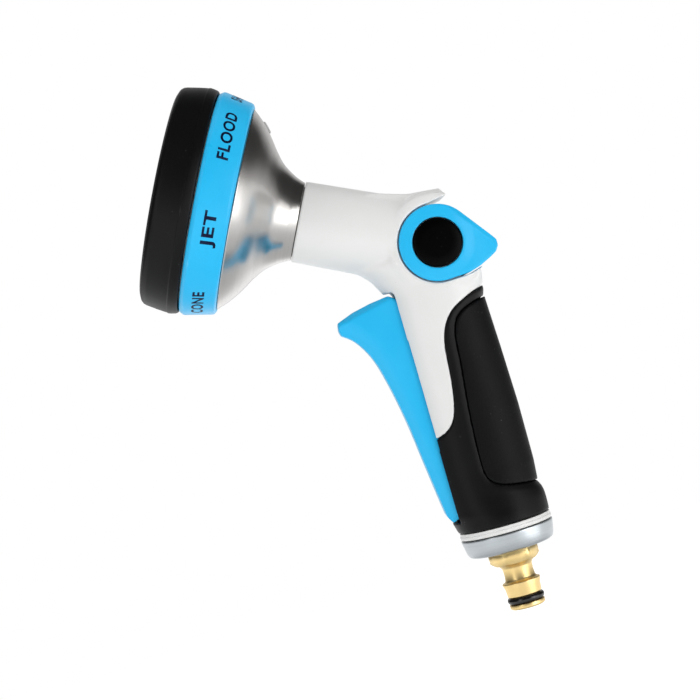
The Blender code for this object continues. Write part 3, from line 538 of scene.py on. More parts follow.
def moulding(name, colour, shade, rub, roughness, spread, grain, depth, specular=0.5):
    """Moulded plastic or rubber: two near tones, gloss that drifts, grain, rubbed edges and dust."""
    look, tree, shader, where = new_look(name)
    skin_grain = use_group(tree, grain_tree, Vector=where, Scale=grain, Ripple=55.0)
    edges = use_group(tree, wear_tree, Vector=where, Start=0.53, End=0.64)
    dust = use_group(tree, dust_tree, Vector=where, Scale=420.0)
    tones = blend_colour(tree, skin_grain.outputs["Gloss"], shade, colour)
    rubbed = blend_colour(tree, edges.outputs["Mask"], tones, rub)
    dusty = blend_colour(tree, dust.outputs["Mask"], rubbed, [0.75 * c + 0.05 for c in colour])
    dress(tree, shader, dusty, skin_grain.outputs["Gloss"], (0.25, 0.75),
          (roughness - spread, roughness + spread), skin_grain.outputs["Height"], 0.35, depth)
    shader.inputs["Specular IOR Level"].default_value = specular
    return look


white_plastic = moulding("white_plastic", (0.80, 0.80, 0.785), (0.76, 0.76, 0.75), (0.88, 0.88, 0.87),
                         0.36, 0.05, 2600.0, 0.03)

for side, sign in (("left", -1), ("right", 1)):
    low, high = sorted((sign * SEAM, sign * 40.0))
    shell = make_object(f"body_shell_{side}_skin", side_prism(WHITE_SIDE, low, high))
    combined(shell, "INTERSECT", copy_of(housing, "part_of_housing"))
    if side == "right":
        for name in ("body_screw_upper", "body_screw_lower"):
            add_screw_post(shell, name)
    moulded(shell, SHELL_GRID, 5)
    finished(shell, white_plastic, "housing", "white_plastic", f"body_shell_{side}")


# ------------------------------------------------------------------------------------------------
# Grip shells: the black lower housing, glass-filled nylon in two halves, drawn together by screws
# from the right. A shallow valley runs round the recess that holds the soft pad.
# ------------------------------------------------------------------------------------------------
VALLEY_REACH = 3.3
VALLEY_DEPTH = 0.55
PAD_THICKNESS = 2.0
GAP = 0.3
PIVOT = Vector((-15.0, 0.0, 50.0))
PAD_LINE = smooth_path((
    (26.0, 133.4), (12.0, 130.7), (4.2, 127.0), (0.8, 120.0), (-0.5, 106.0), (-2.6, 86.0),
    (-3.7, 66.0), (-2.6, 58.2), (2.0, 54.5), (12.0, 52.2), (26.0, 50.2),
))
BLACK_SIDE = [*[(x, z - GAP) for x, z in BOUNDARY], (-40.0, 78.0 - GAP), (-40.0, 37.7), (40.0, 37.7),
              (40.0, 139.3 - GAP)]


def pad_outline(inset):
    """The pad's side view, shrunk towards its middle by the inset."""
    middle = Vector((20.0, 92.0))
    return [tuple(Vector(p) + (middle - Vector(p)).normalized() * inset) for p in PAD_LINE]


def pad_core(depth):
    """The handle's outside moved inwards, over the pad's height only."""
    sections = ((44.0, 19.4, 19.0), (51.0, 18.7, 18.2), (60.0, 19.3, 17.6), (85.0, 19.6, 17.2),
                (110.0, 19.0, 17.1), (131.0, 18.3, 17.3), (139.0, 18.9, 17.4))
    return make_object("pad_core", loft([
        handle_section(z, HANDLE_FRONT, rear - depth, half - depth, 2.3) for z, rear, half in sections]))


recess = make_object("recess", side_prism(pad_outline(-GAP), -24.0, 24.0))
combined(recess, "DIFFERENCE", pad_core(PAD_THICKNESS + GAP))
pin_cut = rod(1.8, -13.2, 13.2, across(PIVOT))
gland_cut = rod(6.4, -20.0, 0.0, frame_at(Vector((0.0, 0.0, 84.0)), (1, 0, 0), (0, 1, 0)))


def line_tree(line, spacing=0.25):
    """Search tree of side-view points spaced along a line, in metres."""
    spots = []
    for start, end in zip(line, line[1:]):
        start, end = Vector(start), Vector(end)
        steps = max(1, math.ceil((end - start).length / spacing))
        spots += [start.lerp(end, k / steps) * MM for k in range(steps)]
    tree = kdtree.KDTree(len(spots))
    for index, spot in enumerate(spots):
        tree.insert((spot.x, 0.0, spot.y), index)
    tree.balance()
    return tree


pad_rim = line_tree(PAD_LINE)


def sink_valley(obj):
    """Press a shallow valley into the outside, alongside the pad's rim."""
    for vert in obj.data.vertices:
        place = vert.co / MM
        outside = place.y ** 2 / 300 + (place.x - 0.3) ** 2 / 380 > 0.72
        distance = pad_rim.find((vert.co.x, 0.0, vert.co.z))[2] / MM
        if outside and distance < VALLEY_REACH and 46.0 < place.z < 136.0:
            share = 0.5 + 0.5 * math.cos(math.pi * distance / VALLEY_REACH)
            inward = Vector((-place.x * 0.9, -place.y, 0.0)).normalized()
            vert.co += inward * VALLEY_DEPTH * share * MM


black_plastic = moulding("black_plastic", (0.0050, 0.0050, 0.0054), (0.0034, 0.0034, 0.0038),
                         (0.018, 0.018, 0.019), 0.42, 0.05, 2200.0, 0.05, specular=0.15)

for side, sign in (("left", -1), ("right", 1)):
    low, high = sorted((sign * SEAM, sign * 40.0))
    shell = make_object(f"grip_shell_{side}_skin", side_prism(BLACK_SIDE, low, high))
    combined(shell, "INTERSECT", copy_of(housing, "part_of_housing"))
    combined(shell, "DIFFERENCE", *(copy_of(tool, "cut") for tool in (recess, pin_cut, gland_cut)))
    if side == "right":
        for name in ("grip_screw_upper", "grip_screw_lower"):
            add_screw_post(shell, name)
    moulded(shell, SHELL_GRID, 5)
    sink_valley(shell)
    finished(shell, black_plastic, "housing", "black_plastic", f"grip_shell_{side}")
for tool in (recess, pin_cut, gland_cut):
    bpy.data.objects.remove(tool)


# ------------------------------------------------------------------------------------------------
# Grip pad: soft rubber 2 mm thick, moulded into the recess of the black shells and wrapped round
# the back of the handle. Its edge is rolled in, and its matt face holds a fine leather-like grain.
# ------------------------------------------------------------------------------------------------
pad = make_object("grip_pad_skin", side_prism(pad_outline(0.0), -24.0, 24.0))
pad_space = make_object("pad_space", loft([handle_section(*s) for s in HANDLE_SECTIONS]))
combined(pad, "INTERSECT", pad_space)
combined(pad, "DIFFERENCE", pad_core(PAD_THICKNESS))
moulded(pad, 0.45, 7)
soft_grip = moulding("soft_grip", (0.0042, 0.0042, 0.0047), (0.0028, 0.0028, 0.0032), (0.012, 0.012, 0.013),
                     0.48, 0.05, 1500.0, 0.07, specular=0.12)
finished(pad, soft_grip, "housing", "soft_grip", "grip_pad")
bpy.data.objects.remove(housing)


# ------------------------------------------------------------------------------------------------
# Base ring and collar: a white spacer ring under the grip, and a turned zinc collar with a satin
# finish that screws up over the inlet socket and clamps the two shells.
# ------------------------------------------------------------------------------------------------
trim = make_object("trim_ring_skin", soften(spun((
    (15.4, 34.4), (19.6, 34.4), (20.0, 34.8), (20.0, 35.9), (19.7, 36.2), (19.7, 37.3), (15.4, 37.3),
), 128), 0.12, 2))
finished(trim, white_plastic, "housing", "white_plastic", "trim_ring")

# Lathe marks: fine rings about a piece's own axis, slightly broken along their length.
turned_tree, turned_in, turned_out = new_group(
    "turned_marks",
    (("Vector", "NodeSocketVector", None), ("Fineness", "NodeSocketFloat", 2200.0)),
    ("Height", "Streak"))
flat = add_node(turned_tree, "VectorMath", {"operation": "MULTIPLY"}, {
    0: turned_in.outputs["Vector"], 1: (1.0, 1.0, 0.0)})
radius = add_node(turned_tree, "VectorMath", {"operation": "LENGTH"}, {0: flat.outputs["Vector"]})
parts = add_node(turned_tree, "SeparateXYZ", {}, {0: turned_in.outputs["Vector"]})
along = add_node(turned_tree, "Math", {"operation": "ADD"}, {
    0: parts.outputs["Z"], 1: radius.outputs["Value"]})
slow_x = add_node(turned_tree, "Math", {"operation": "MULTIPLY"}, {0: parts.outputs["X"], 1: 0.02})
slow_y = add_node(turned_tree, "Math", {"operation": "MULTIPLY"}, {0: parts.outputs["Y"], 1: 0.02})
track = add_node(turned_tree, "CombineXYZ", {}, {
    "X": slow_x.outputs["Value"], "Y": slow_y.outputs["Value"], "Z": along.outputs["Value"]})
lines = add_node(turned_tree, "TexNoise", {}, {
    "Vector": track.outputs["Vector"], "Scale": turned_in.outputs["Fineness"], "Detail": 3.0,
    "Roughness": 0.65})
clouds = add_node(turned_tree, "TexNoise", {}, {
    "Vector": turned_in.outputs["Vector"], "Scale": 70.0, "Detail": 3.0})
streaks = add_node(turned_tree, "Math", {"operation": "MULTIPLY"}, {
    0: lines.outputs["Fac"], 1: clouds.outputs["Fac"]})
turned_tree.links.new(lines.outputs["Fac"], turned_out.inputs["Height"])
turned_tree.links.new(streaks.outputs["Value"], turned_out.inputs["Streak"])


def turned_metal(name, bright, dull, roughness, spread, fineness, depth, origin=None, turn=None):
    """Turned metal: marks about the piece's axis, brighter where they are rubbed."""
    look, tree, shader, where = new_look(name)
    if origin:
        back = (Matrix.Translation(origin) @ turn.to_4x4()).inverted()
        mapping = add_node(tree, "Mapping", {}, {
            "Vector": where, "Location": back.to_translation(), "Rotation": back.to_euler()})
        where = mapping.outputs["Vector"]
    marks = use_group(tree, turned_tree, Vector=where, Fineness=fineness)
    edges = use_group(tree, wear_tree, Vector=where, Start=0.53, End=0.6)
    tones = blend_colour(tree, marks.outputs["Streak"], dull, bright)
    rubbed = blend_colour(tree, edges.outputs["Mask"], tones, [min(1.0, c * 1.1) for c in bright])
    dress(tree, shader, rubbed, marks.outputs["Streak"], (0.1, 0.5),
          (roughness + spread, roughness - spread), marks.outputs["Height"], 0.3, depth)
    shader.inputs["Metallic"].default_value = 1.0
    return look


satin_zinc = turned_metal("satin_zinc", (0.58, 0.61, 0.63), (0.40, 0.43, 0.45), 0.30, 0.05, 1800.0, 0.02)
collar = make_object("metal_collar_skin", soften(spun((
    (11.4, 26.0), (17.2, 26.0), (18.4, 26.7), (18.9, 27.8), (19.4, 30.2), (19.95, 33.2), (20.0, 34.0),
    (15.4, 34.0), (15.4, 27.6), (11.4, 27.6),
), 160), 0.25, 3))
finished(collar, satin_zinc, "housing", "satin_zinc", "metal_collar")


# ------------------------------------------------------------------------------------------------
# Hose plug: a brass quick-connect plug, forged and turned, with a hexagon for a spanner, a groove
# for the coupling's claws and a black O-ring that seals it. It screws into the inlet socket.
# ------------------------------------------------------------------------------------------------
brass = turned_metal("brass", (0.95, 0.76, 0.40), (0.82, 0.60, 0.25), 0.33, 0.06, 1500.0, 0.03)
plug = make_object("hose_connector_skin", soften(spun((
    (4.8, 0.0), (6.9, 0.0), (7.7, 0.6), (7.7, 2.2), (6.4, 2.35), (6.4, 5.45), (7.45, 5.6), (7.7, 9.0),
    (8.3, 11.1), (8.3, 11.6), (7.2, 12.0), (6.6, 12.7), (6.4, 15.4), (6.6, 18.0), (7.6, 19.3), (8.8, 20.0),
    (9.4, 20.6), (9.4, 27.0), (9.8, 27.1), (9.8, 38.0), (4.8, 38.0),
), 128), 0.22, 3))
hexagon = make_object("hexagon", soften(spun(((4.9, 19.6), (8.9, 19.6), (11.2, 21.6), (11.2, 25.4),
                                              (9.3, 27.0), (4.9, 27.0)), 96), 0.1, 1))
sides = bmesh.new()
bmesh.ops.create_cone(sides, cap_ends=True, segments=6, radius1=9.5 / math.cos(math.pi / 6),
                      radius2=9.5 / math.cos(math.pi / 6), depth=10.0)
bmesh.ops.rotate(sides, cent=(0, 0, 0), matrix=Matrix.Rotation(math.pi / 6, 3, "Z"), verts=sides.verts)
bmesh.ops.bevel(sides, geom=[e for e in sides.edges if abs(e.verts[0].co.z - e.verts[1].co.z) > 1.0],
                offset=0.5, segments=3, profile=0.5, affect="EDGES", material=-1)
combined(hexagon, "INTERSECT", make_object("sides", sides, Matrix.Translation((0, 0, 24.0))))
combined(plug, "UNION", hexagon)
finished(plug, brass, "housing", "brass", "hose_connector")


def ring_seal(name, middle, half_width, half_height, height, segments=128):
    """O-ring about Z with an oval section."""
    bm = bmesh.new()
    section = bmesh.ops.create_circle(bm, segments=20, radius=1.0)["verts"]
    bmesh.ops.rotate(bm, cent=(0, 0, 0), matrix=Matrix.Rotation(math.pi / 2, 3, "X"), verts=section)
    bmesh.ops.scale(bm, vec=(half_width, 1.0, half_height), verts=section)
    bmesh.ops.translate(bm, vec=(middle, 0.0, height), verts=section)
    bmesh.ops.spin(bm, geom=[*bm.verts, *bm.edges], cent=(0, 0, 0), axis=(0, 0, 1), angle=math.tau,
                   steps=segments, use_merge=True)
    bmesh.ops.remove_doubles(bm, verts=bm.verts, dist=1e-5)
    return make_object(name, bm)


seal_rubber = moulding("seal_rubber", (0.006, 0.006, 0.006), (0.004, 0.004, 0.004), (0.02, 0.02, 0.02),
                       0.2, 0.04, 900.0, 0.02, specular=0.6)
oring = ring_seal("connector_oring_skin", 7.18, 0.92, 1.3, 3.9)
finished(oring, seal_rubber, "housing", "seal_rubber", "connector_oring")


# ------------------------------------------------------------------------------------------------
# Trigger: a long blue lever hung on a steel pin at the foot of the handle, an open channel moulded
# in ABS, its front broadly rounded for the fingers and its top curled forward.
# ------------------------------------------------------------------------------------------------
TRIGGER_HALF = 9.5
FINGER_ROUND = 7.5


def shave(bm, point, normal, depth, side_y, slant):
    """Flat chamfer along an edge: its side-view point and outward normal, its depth on the side face."""
    sideways = math.copysign(math.sqrt(1 - slant * slant), side_y)
    plane = Vector((normal[0] * slant, sideways, normal[1] * slant))
    start = Vector((point[0] - normal[0] * depth, side_y, point[1] - normal[1] * depth))
    cut = bmesh.ops.bisect_plane(bm, geom=[*bm.verts, *bm.edges, *bm.faces], plane_co=start, plane_no=plane,
                                 clear_outer=True, dist=1e-4)["geom_cut"]
    bmesh.ops.contextual_create(bm, geom=[part for part in cut if isinstance(part, bmesh.types.BMEdge)])
    bmesh.ops.recalc_face_normals(bm, faces=bm.faces)


front = smooth_path(((-21.2, 43.4), (-22.8, 46.0), (-23.7, 51.0), (-26.0, 70.0), (-28.4, 90.0),
                     (-31.6, 107.5), (-35.0, 119.5), (-40.0, 128.1), (-45.2, 132.4)), 4)
top = [(-45.7, 134.5), (-45.2, 137.9), (-38.0, 140.5), (-30.0, 142.2), (-21.8, 143.2), (-19.0, 141.4)]
back = [(-17.4, 139.0), (-17.4, 55.0), *arc((PIVOT.x, PIVOT.z), 4.8, 50.0, -90.0, 12), (-19.0, 44.4)]
trigger_bm = side_prism(front + top + back, -TRIGGER_HALF, TRIGGER_HALF)
rims = [e for e in trigger_bm.edges if abs(e.verts[0].co.y - e.verts[1].co.y) < 0.1]
bmesh.ops.bevel(trigger_bm, geom=rims, offset=1.0, segments=3, profile=0.5, affect="EDGES", material=-1)
for side in (-1, 1):
    shave(trigger_bm, (-33.5, 141.3), (-0.221, 0.975), 2.3, side * TRIGGER_HALF, 0.7)
trigger = make_object("trigger_skin", trigger_bm)
inside = [*smooth_path(((-19.3, 47.0), (-21.2, 51.0), (-23.6, 70.0), (-26.0, 90.0), (-29.2, 107.5),
                        (-32.6, 119.5), (-38.0, 129.8), (-42.4, 133.6)), 4),
          (-42.4, 136.6), (-30.0, 139.9), (-21.0, 140.9), (-5.0, 140.9), (-5.0, 42.0), (-17.0, 42.0)]
channel = make_object("channel", side_prism(inside, -7.3, 7.3))
eye = rod(1.8, -14.0, 14.0, across(PIVOT))
combined(trigger, "DIFFERENCE", channel, eye)
moulded(trigger, 0.42, 5)
finger_line = line_tree(front)
for vert in trigger.data.vertices:
    depth = finger_line.find((vert.co.x, 0.0, vert.co.z))[2] / MM
    outer = (abs(vert.co.y) / MM - 7.4) / (TRIGGER_HALF - 7.4)
    if outer > 0.0 and depth < FINGER_ROUND:
        vert.co.y -= math.copysign(2.3 * outer * (1 - depth / FINGER_ROUND) ** 2 * MM, vert.co.y)
blue_plastic = moulding("blue_plastic", (0.022, 0.51, 0.90), (0.012, 0.475, 0.86), (0.12, 0.62, 0.95),
                        0.32, 0.05, 2600.0, 0.03, specular=0.3)
finished(trigger, blue_plastic, "trigger", "blue_plastic", "trigger")


# ------------------------------------------------------------------------------------------------
# Flow lever: a blue yoke over the hub, one moulding with a round cheek on each side and a beak
# behind for the thumb. A black cap on each side is pressed onto the valve spool's square.
# ------------------------------------------------------------------------------------------------
CHEEK = 18.4
BEAK_TAPER = 0.45
CHEEK_CROWN = 0.16
lever_outline = arc((0.0, 0.0), 16.2, 38.6, 276.0, 72) + [
    (9.8, -15.7), (14.8, -14.2), (19.8, -11.9), (22.8, -10.2), (24.2, -8.0), (24.3, -5.4), (22.6, -2.9)]
lever_bm = side_prism([(x + HUB.x, z + HUB.z) for x, z in lever_outline], -CHEEK, CHEEK)
rims = [e for e in lever_bm.edges if abs(e.verts[0].co.y - e.verts[1].co.y) < 0.1]
bmesh.ops.bevel(lever_bm, geom=rims, offset=0.9, segments=3, profile=0.5, affect="EDGES", material=-1)
for side in (-1, 1):
    shave(lever_bm, (HUB.x + 17.7, HUB.z + 3.65), (0.801, 0.599), 1.8, side * CHEEK, 0.75)
lever = make_object("flow_lever_skin", lever_bm)
clear = [(7.0, -4.0), (19.0, 15.6), (19.0, 30.0), (-30.0, 30.0), (-30.0, -30.0), (7.0, -30.0)]
lever_core = rod(15.7, -14.4, 14.4, across(HUB), 96)
lever_front = make_object("lever_front", side_prism([(x + HUB.x, z + HUB.z) for x, z in clear], -14.4, 14.4))
lever_hole = rod(10.6, -30.0, 30.0, across(HUB), 96)
combined(lever, "DIFFERENCE", lever_core, lever_front, lever_hole)
moulded(lever, 0.38, 4)


def eased(value, start, end):
    """Smooth step from 0 at the start to 1 at the end."""
    t = min(max((value - start) / (end - start), 0.0), 1.0)
    return t * t * (3 - 2 * t)


for vert in lever.data.vertices:
    away = Vector((vert.co.x / MM - HUB.x, vert.co.z / MM - HUB.z))
    outer = abs(vert.co.y) / MM - 14.6
    if outer > 0.0:
        sunk = outer * (BEAK_TAPER * eased(away.x, 7.0, 24.0) + CHEEK_CROWN * eased(away.length, 10.2, 16.2))
        vert.co.y -= math.copysign(sunk * MM, vert.co.y)
finished(lever, blue_plastic, "lever", "blue_plastic", "flow_lever")

cap_black = moulding("cap_black", (0.0008, 0.0008, 0.001), (0.0005, 0.0005, 0.0006), (0.004, 0.004, 0.0045),
                     0.36, 0.04, 2600.0, 0.02, specular=0.05)
for side, sign in (("left", -1), ("right", 1)):
    cap = make_object(f"lever_cap_{side}_skin", spun((
        (0.0, 14.4), (10.15, 14.4), (10.2, 14.6), (10.2, 18.3), (10.0, 18.75), (9.6, 19.0), (6.0, 19.15),
        (0.0, 19.2),
    ), 96), frame_at(HUB, (0, sign, 0), (1, 0, 0)))
    finished(cap, cap_black, "lever", "black_plastic", f"lever_cap_{side}")


# ------------------------------------------------------------------------------------------------
# Head bell: stainless sheet spun to a trumpet and satin polished, with a rolled rim behind the
# pattern ring. A small grey pointer riveted to its top shows the pattern in use.
# ------------------------------------------------------------------------------------------------
HEAD = frame_at(JOINT, FORWARD, (0, -1, 0))
bell_line = smooth_path(((16.8, 0.1), (17.6, 2.2), (19.0, 5.0), (22.6, 10.0), (27.4, 14.0), (33.4, 18.0),
                         (38.5, 22.0), (43.1, 26.8)), 5)
bell_lining = [(max(r - 1.26, 15.6), h + 0.55) for r, h in bell_line[1:-1]]
bell_profile = bell_line + [(41.6, 26.8)] + bell_lining[::-1] + [(15.6, 0.1)]
bell = make_object("head_bell_skin", spun(bell_profile, 192), HEAD)
brushed_steel = turned_metal("brushed_steel", (0.70, 0.68, 0.66), (0.50, 0.485, 0.47), 0.215, 0.04,
                             1600.0, 0.010, JOINT * MM, HEAD.to_3x3())
finished(bell, brushed_steel, "housing", "brushed_steel", "head_bell")

pointer_bm = bmesh.new()
corners = ((-1.9, 3.0, 0), (0, -3.6, 0), (1.9, 3.0, 0))
arrow = pointer_bm.faces.new([pointer_bm.verts.new(corner) for corner in corners])
raised = bmesh.ops.extrude_face_region(pointer_bm, geom=[arrow])["geom"]
crown = [part for part in raised if isinstance(part, bmesh.types.BMVert)]
bmesh.ops.translate(pointer_bm, vec=(0, 0, 1.6), verts=crown)
bmesh.ops.scale(pointer_bm, vec=(0.72, 0.8, 1.0), verts=crown)
soften(pointer_bm, 0.3, 3)
bell_normal = Vector((0.0, 0.617, -0.787))
lean = frame_at(Vector((0.0, 36.6, 20.5)) - bell_normal * 0.8, bell_normal, (1, 0, 0))
pointer = make_object("pattern_pointer", pointer_bm, HEAD @ lean)
pointer_grey = moulding("pointer_grey", (0.52, 0.52, 0.51), (0.47, 0.47, 0.46), (0.62, 0.62, 0.61),
                        0.40, 0.05, 2600.0, 0.02)
finished(pointer, pointer_grey, "housing", "white_plastic")


# ------------------------------------------------------------------------------------------------
# Pattern ring: a blue ABS ring with a chamfered front edge, turned by hand to choose the spray.
# Its seven pattern names are printed in dark blue ink, reading round the ring.
# ------------------------------------------------------------------------------------------------
ring = make_object("selector_ring_skin", soften(spun((
    (41.9, 27.0), (44.2, 27.0), (45.2, 27.6), (45.6, 28.4), (47.95, 39.7), (47.95, 40.6), (47.35, 41.6),
    (47.0, 42.3), (44.3, 42.3), (41.9, 30.0),
), 192), 0.25, 3, math.radians(14)), HEAD)
finished(ring, blue_plastic, "turret", "blue_plastic", "selector_ring")

PATTERN_NAMES = ("CONE", "JET", "FLOOD", "SHOWER", "FOG", "FLAT", "SOAK")
PATTERN_STEP = math.tau / len(PATTERN_NAMES)
FIRST_PATTERN = math.radians(-15.6) - PATTERN_STEP
LETTER_HEIGHT = 4.7
LETTER_PITCH = 5.3
BASELINE = 32.3
INK_PROUD = 0.03


def ring_radius(height):
    """Outside of the ring's tapered band."""
    return 45.6 + (height - 28.4) * (47.95 - 45.6) / (39.7 - 28.4)


def printed_word(word, angle):
    """Word laid flat, then wrapped round the ring's band with its tops to the front."""
    curve = bpy.data.curves.new(word, "FONT")
    curve.body = word
    curve.align_x = "CENTER"
    curve.offset = 0.028
    curve.space_character = 1.12
    text = bpy.data.objects.new(word, curve)
    bpy.context.scene.collection.objects.link(text)
    bpy.context.view_layer.update()
    flat_word = bpy.data.meshes.new_from_object(text.evaluated_get(bpy.context.evaluated_depsgraph_get()))
    bpy.data.objects.remove(text)
    bm = bmesh.new()
    bm.from_mesh(flat_word)
    wide = max(v.co.x for v in bm.verts) - min(v.co.x for v in bm.verts)
    tall = max(v.co.y for v in bm.verts)
    bmesh.ops.scale(bm, vec=(LETTER_PITCH * len(word) / wide * 0.98, LETTER_HEIGHT / tall, 1.0),
                    verts=bm.verts)
    half = LETTER_PITCH * len(word) / 2
    for cut_at in range(int(-half), int(half) + 1):
        bmesh.ops.bisect_plane(bm, geom=[*bm.verts, *bm.edges, *bm.faces], plane_co=(cut_at, 0, 0),
                               plane_no=(1, 0, 0), dist=1e-4)
    for vert in bm.verts:
        up = BASELINE + vert.co.y
        reach = ring_radius(up) + INK_PROUD
        turn = angle + vert.co.x / ring_radius(BASELINE + LETTER_HEIGHT / 2)
        vert.co = Vector((reach * math.cos(turn), reach * math.sin(turn), up))
    bmesh.ops.remove_doubles(bm, verts=bm.verts, dist=1e-4)
    return bm


words_bm = bmesh.new()
for index, word in enumerate(PATTERN_NAMES):
    word_bm = printed_word(word, FIRST_PATTERN + index * PATTERN_STEP)
    word_mesh = bpy.data.meshes.new("word")
    word_bm.to_mesh(word_mesh)
    word_bm.free()
    words_bm.from_mesh(word_mesh)
bmesh.ops.solidify(words_bm, geom=words_bm.faces, thickness=0.06)
words = make_object("pattern_names", words_bm, HEAD)
ink = moulding("dark_ink", (0.003, 0.006, 0.035), (0.002, 0.004, 0.024), (0.01, 0.03, 0.10),
               0.4, 0.05, 1500.0, 0.01, specular=0.1)
finished(words, ink, "turret", "black_plastic")


# ------------------------------------------------------------------------------------------------
# Front bezel: a black rubber-feel ring pressed over the front of the turret to guard it, with a
# ridge for the fingers near the pattern ring and a rolled lip round the spray face.
# ------------------------------------------------------------------------------------------------
bezel = make_object("front_bezel_skin", soften(spun((
    (44.3, 42.9), (47.5, 42.9), (48.0, 43.6), (48.45, 45.6), (48.6, 46.9), (48.3, 47.4), (48.25, 48.4),
    (47.8, 51.5), (46.95, 56.4), (46.5, 57.7), (45.6, 58.7), (44.5, 59.2), (43.4, 59.65), (42.0, 59.8),
    (41.0, 59.6),
    (40.5, 59.0), (40.4, 57.4), (44.3, 57.4),
), 192), 0.18, 2, math.radians(9)), HEAD)
finished(bezel, black_plastic, "turret", "black_plastic", "front_bezel")


# ------------------------------------------------------------------------------------------------
# Spray plate: the black face that closes the turret, moulded with seven fields of holes and ribs
# between them, one for each pattern, round a brass jet insert.
# ------------------------------------------------------------------------------------------------
plate = make_object("spray_plate_skin", soften(spun((
    (6.4, 52.4), (43.9, 52.4), (43.9, 56.6), (40.9, 57.0), (39.4, 56.2), (9.6, 56.2), (8.8, 57.0),
    (6.4, 57.0),
), 160), 0.2, 2), HEAD)


def field_place(radius, angle):
    turn = FIRST_PATTERN + angle
    return HEAD @ Matrix.Rotation(turn, 4, "Z") @ Matrix.Translation((radius, 0, 0))


def drill(spots):
    """Holes of (radius from the axis, angle from the first field, hole radius) through the plate."""
    holes = bmesh.new()
    for reach, angle, size in spots:
        hole = bmesh.ops.create_cone(holes, cap_ends=True, segments=16, radius1=size, radius2=size * 1.25,
                                     depth=8.0)["verts"]
        bmesh.ops.transform(holes, matrix=field_place(reach, angle) @ Matrix.Translation((0, 0, 54.6)),
                            verts=hole)
    combined(plate, "DIFFERENCE", make_object("holes", holes))


def fan(rows):
    """Spots in rows of (radius, count, spread in degrees, size)."""
    return [(reach, math.radians(spread * (k - (count - 1) / 2) / max(count - 1, 1)), size)
            for reach, count, spread, size in rows for k in range(count)]


FIELDS = (
    fan(((13.5, 3, 22, 0.6), (19.0, 5, 28, 0.6), (24.5, 7, 32, 0.6), (30.0, 9, 35, 0.6),
         (35.5, 11, 37, 0.6))),
    fan(((24.0, 1, 0, 2.6),)),
    fan(((14.0, 2, 20, 1.3), (21.0, 3, 26, 1.3), (28.0, 4, 30, 1.3), (35.0, 5, 34, 1.3))),
    fan(((14.0, 4, 30, 0.45), (18.0, 6, 34, 0.45), (22.0, 7, 36, 0.45), (26.0, 9, 38, 0.45),
         (30.0, 10, 39, 0.45), (34.0, 12, 40, 0.45), (37.3, 13, 40, 0.45))),
    fan(((17.0, 1, 0, 0.9), (26.0, 2, 24, 0.9), (34.0, 3, 30, 0.9))),
    fan(((20.0, 5, 26, 0.8), (29.5, 9, 34, 0.8))),
    fan(((16.0, 3, 24, 1.0), (23.0, 4, 30, 1.0), (30.0, 5, 32, 1.0), (36.0, 6, 34, 1.0))),
)
for index, spots in enumerate(FIELDS):
    drill([(reach, angle + index * PATTERN_STEP, size) for reach, angle, size in spots])

ribs = bmesh.new()
for index in range(len(PATTERN_NAMES)):
    rib = bmesh.ops.create_cube(ribs, size=1.0)["verts"]
    bmesh.ops.scale(ribs, vec=(29.6, 1.1, 1.4), verts=rib)
    bmesh.ops.transform(ribs, matrix=field_place(24.4, (index + 0.5) * PATTERN_STEP)
                        @ Matrix.Translation((0, 0, 56.1)), verts=rib)
bmesh.ops.bevel(ribs, geom=ribs.edges[:], offset=0.3, segments=3, profile=0.5, affect="EDGES", material=-1)
combined(plate, "UNION", make_object("ribs", ribs))
finished(plate, black_plastic, "turret", "black_plastic", "spray_plate")

head_brass = turned_metal("head_brass", (0.90, 0.66, 0.27), (0.72, 0.49, 0.16), 0.24, 0.05, 1500.0, 0.02,
                          JOINT * MM, HEAD.to_3x3())
jet = make_object("jet_insert_skin", soften(spun((
    (2.2, 51.4), (6.1, 51.4), (6.1, 57.6), (5.3, 58.2), (4.6, 59.0), (3.4, 59.0), (2.2, 56.6),
), 96), 0.18, 3), HEAD)
finished(jet, head_brass, "turret", "brass", "jet_insert")


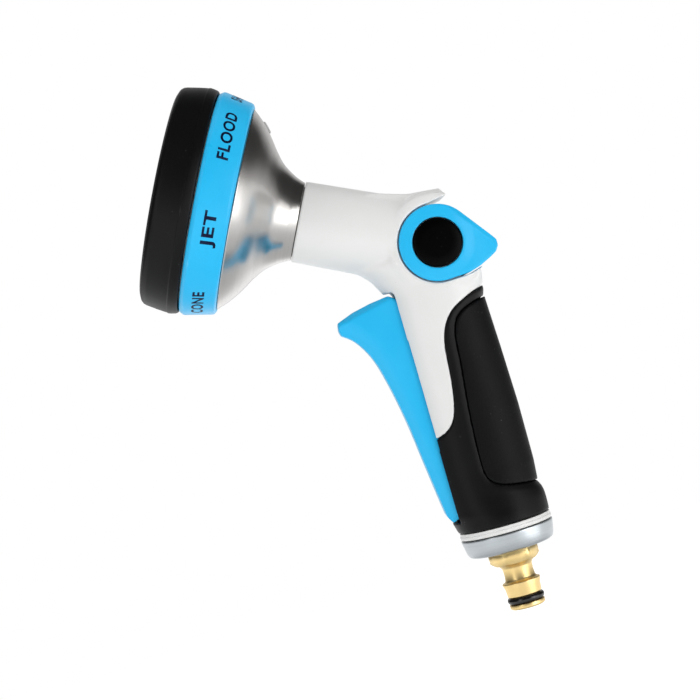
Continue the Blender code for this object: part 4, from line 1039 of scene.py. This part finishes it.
# ------------------------------------------------------------------------------------------------
# Screws: four self-tapping pan heads, zinc plated, sunk in the right-hand shells. Each has a cross
# recess and holds the two halves of its housing together.
# ------------------------------------------------------------------------------------------------
bright_steel = moulding("bright_steel", (0.56, 0.56, 0.55), (0.42, 0.42, 0.41), (0.75, 0.75, 0.74),
                        0.28, 0.06, 1800.0, 0.02)
bright_steel.node_tree.nodes["Principled BSDF"].inputs["Metallic"].default_value = 1.0
for name, (x, z, seat) in SCREW_SEATS.items():
    screw = make_object(f"{name}_head", spun((
        (0.0, -7.4), (1.2, -7.0), (1.2, seat + 0.3), (2.55, seat + 0.3), (2.55, seat + 0.9),
        (2.3, seat + 1.4), (1.6, seat + 1.75), (0.0, seat + 1.8)), 48))
    cross = bmesh.new()
    for quarter in (0, 1):
        blade = bmesh.ops.create_cube(cross, size=1.0)["verts"]
        bmesh.ops.scale(cross, vec=(2.7, 0.55, 2.4), verts=blade)
        turn = Matrix.Rotation(math.pi / 4 + quarter * math.pi / 2, 3, "Z")
        bmesh.ops.rotate(cross, cent=(0, 0, 0), matrix=turn, verts=blade)
        bmesh.ops.translate(cross, vec=(0, 0, seat + 2.2), verts=blade)
    combined(screw, "DIFFERENCE", make_object("cross", cross))
    screw.data.transform(across(Vector((x, 0.0, z)) * MM))
    finished(screw, bright_steel, "housing", "steel", name)


# ------------------------------------------------------------------------------------------------
# Inner parts: tubes, valve, spool and seals inside the housing keep their plain machined shapes.
# Milky polypropylene, zinc-plated steel, black seals and brass are their materials.
# ------------------------------------------------------------------------------------------------
natural_plastic = moulding("natural_plastic", (0.62, 0.62, 0.58), (0.55, 0.55, 0.50), (0.72, 0.72, 0.70),
                           0.45, 0.06, 1400.0, 0.03)
INNER_LOOKS = {
    "white_plastic": white_plastic, "black_plastic": black_plastic, "soft_grip": soft_grip,
    "blue_plastic": blue_plastic, "brass": brass, "satin_zinc": satin_zinc, "brushed_steel": brushed_steel,
    "steel": bright_steel, "seal_rubber": seal_rubber, "natural_plastic": natural_plastic,
}
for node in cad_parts.values():
    for slot in node.material_slots:
        slot.material = INNER_LOOKS[slot.material.name.split(".")[0]]
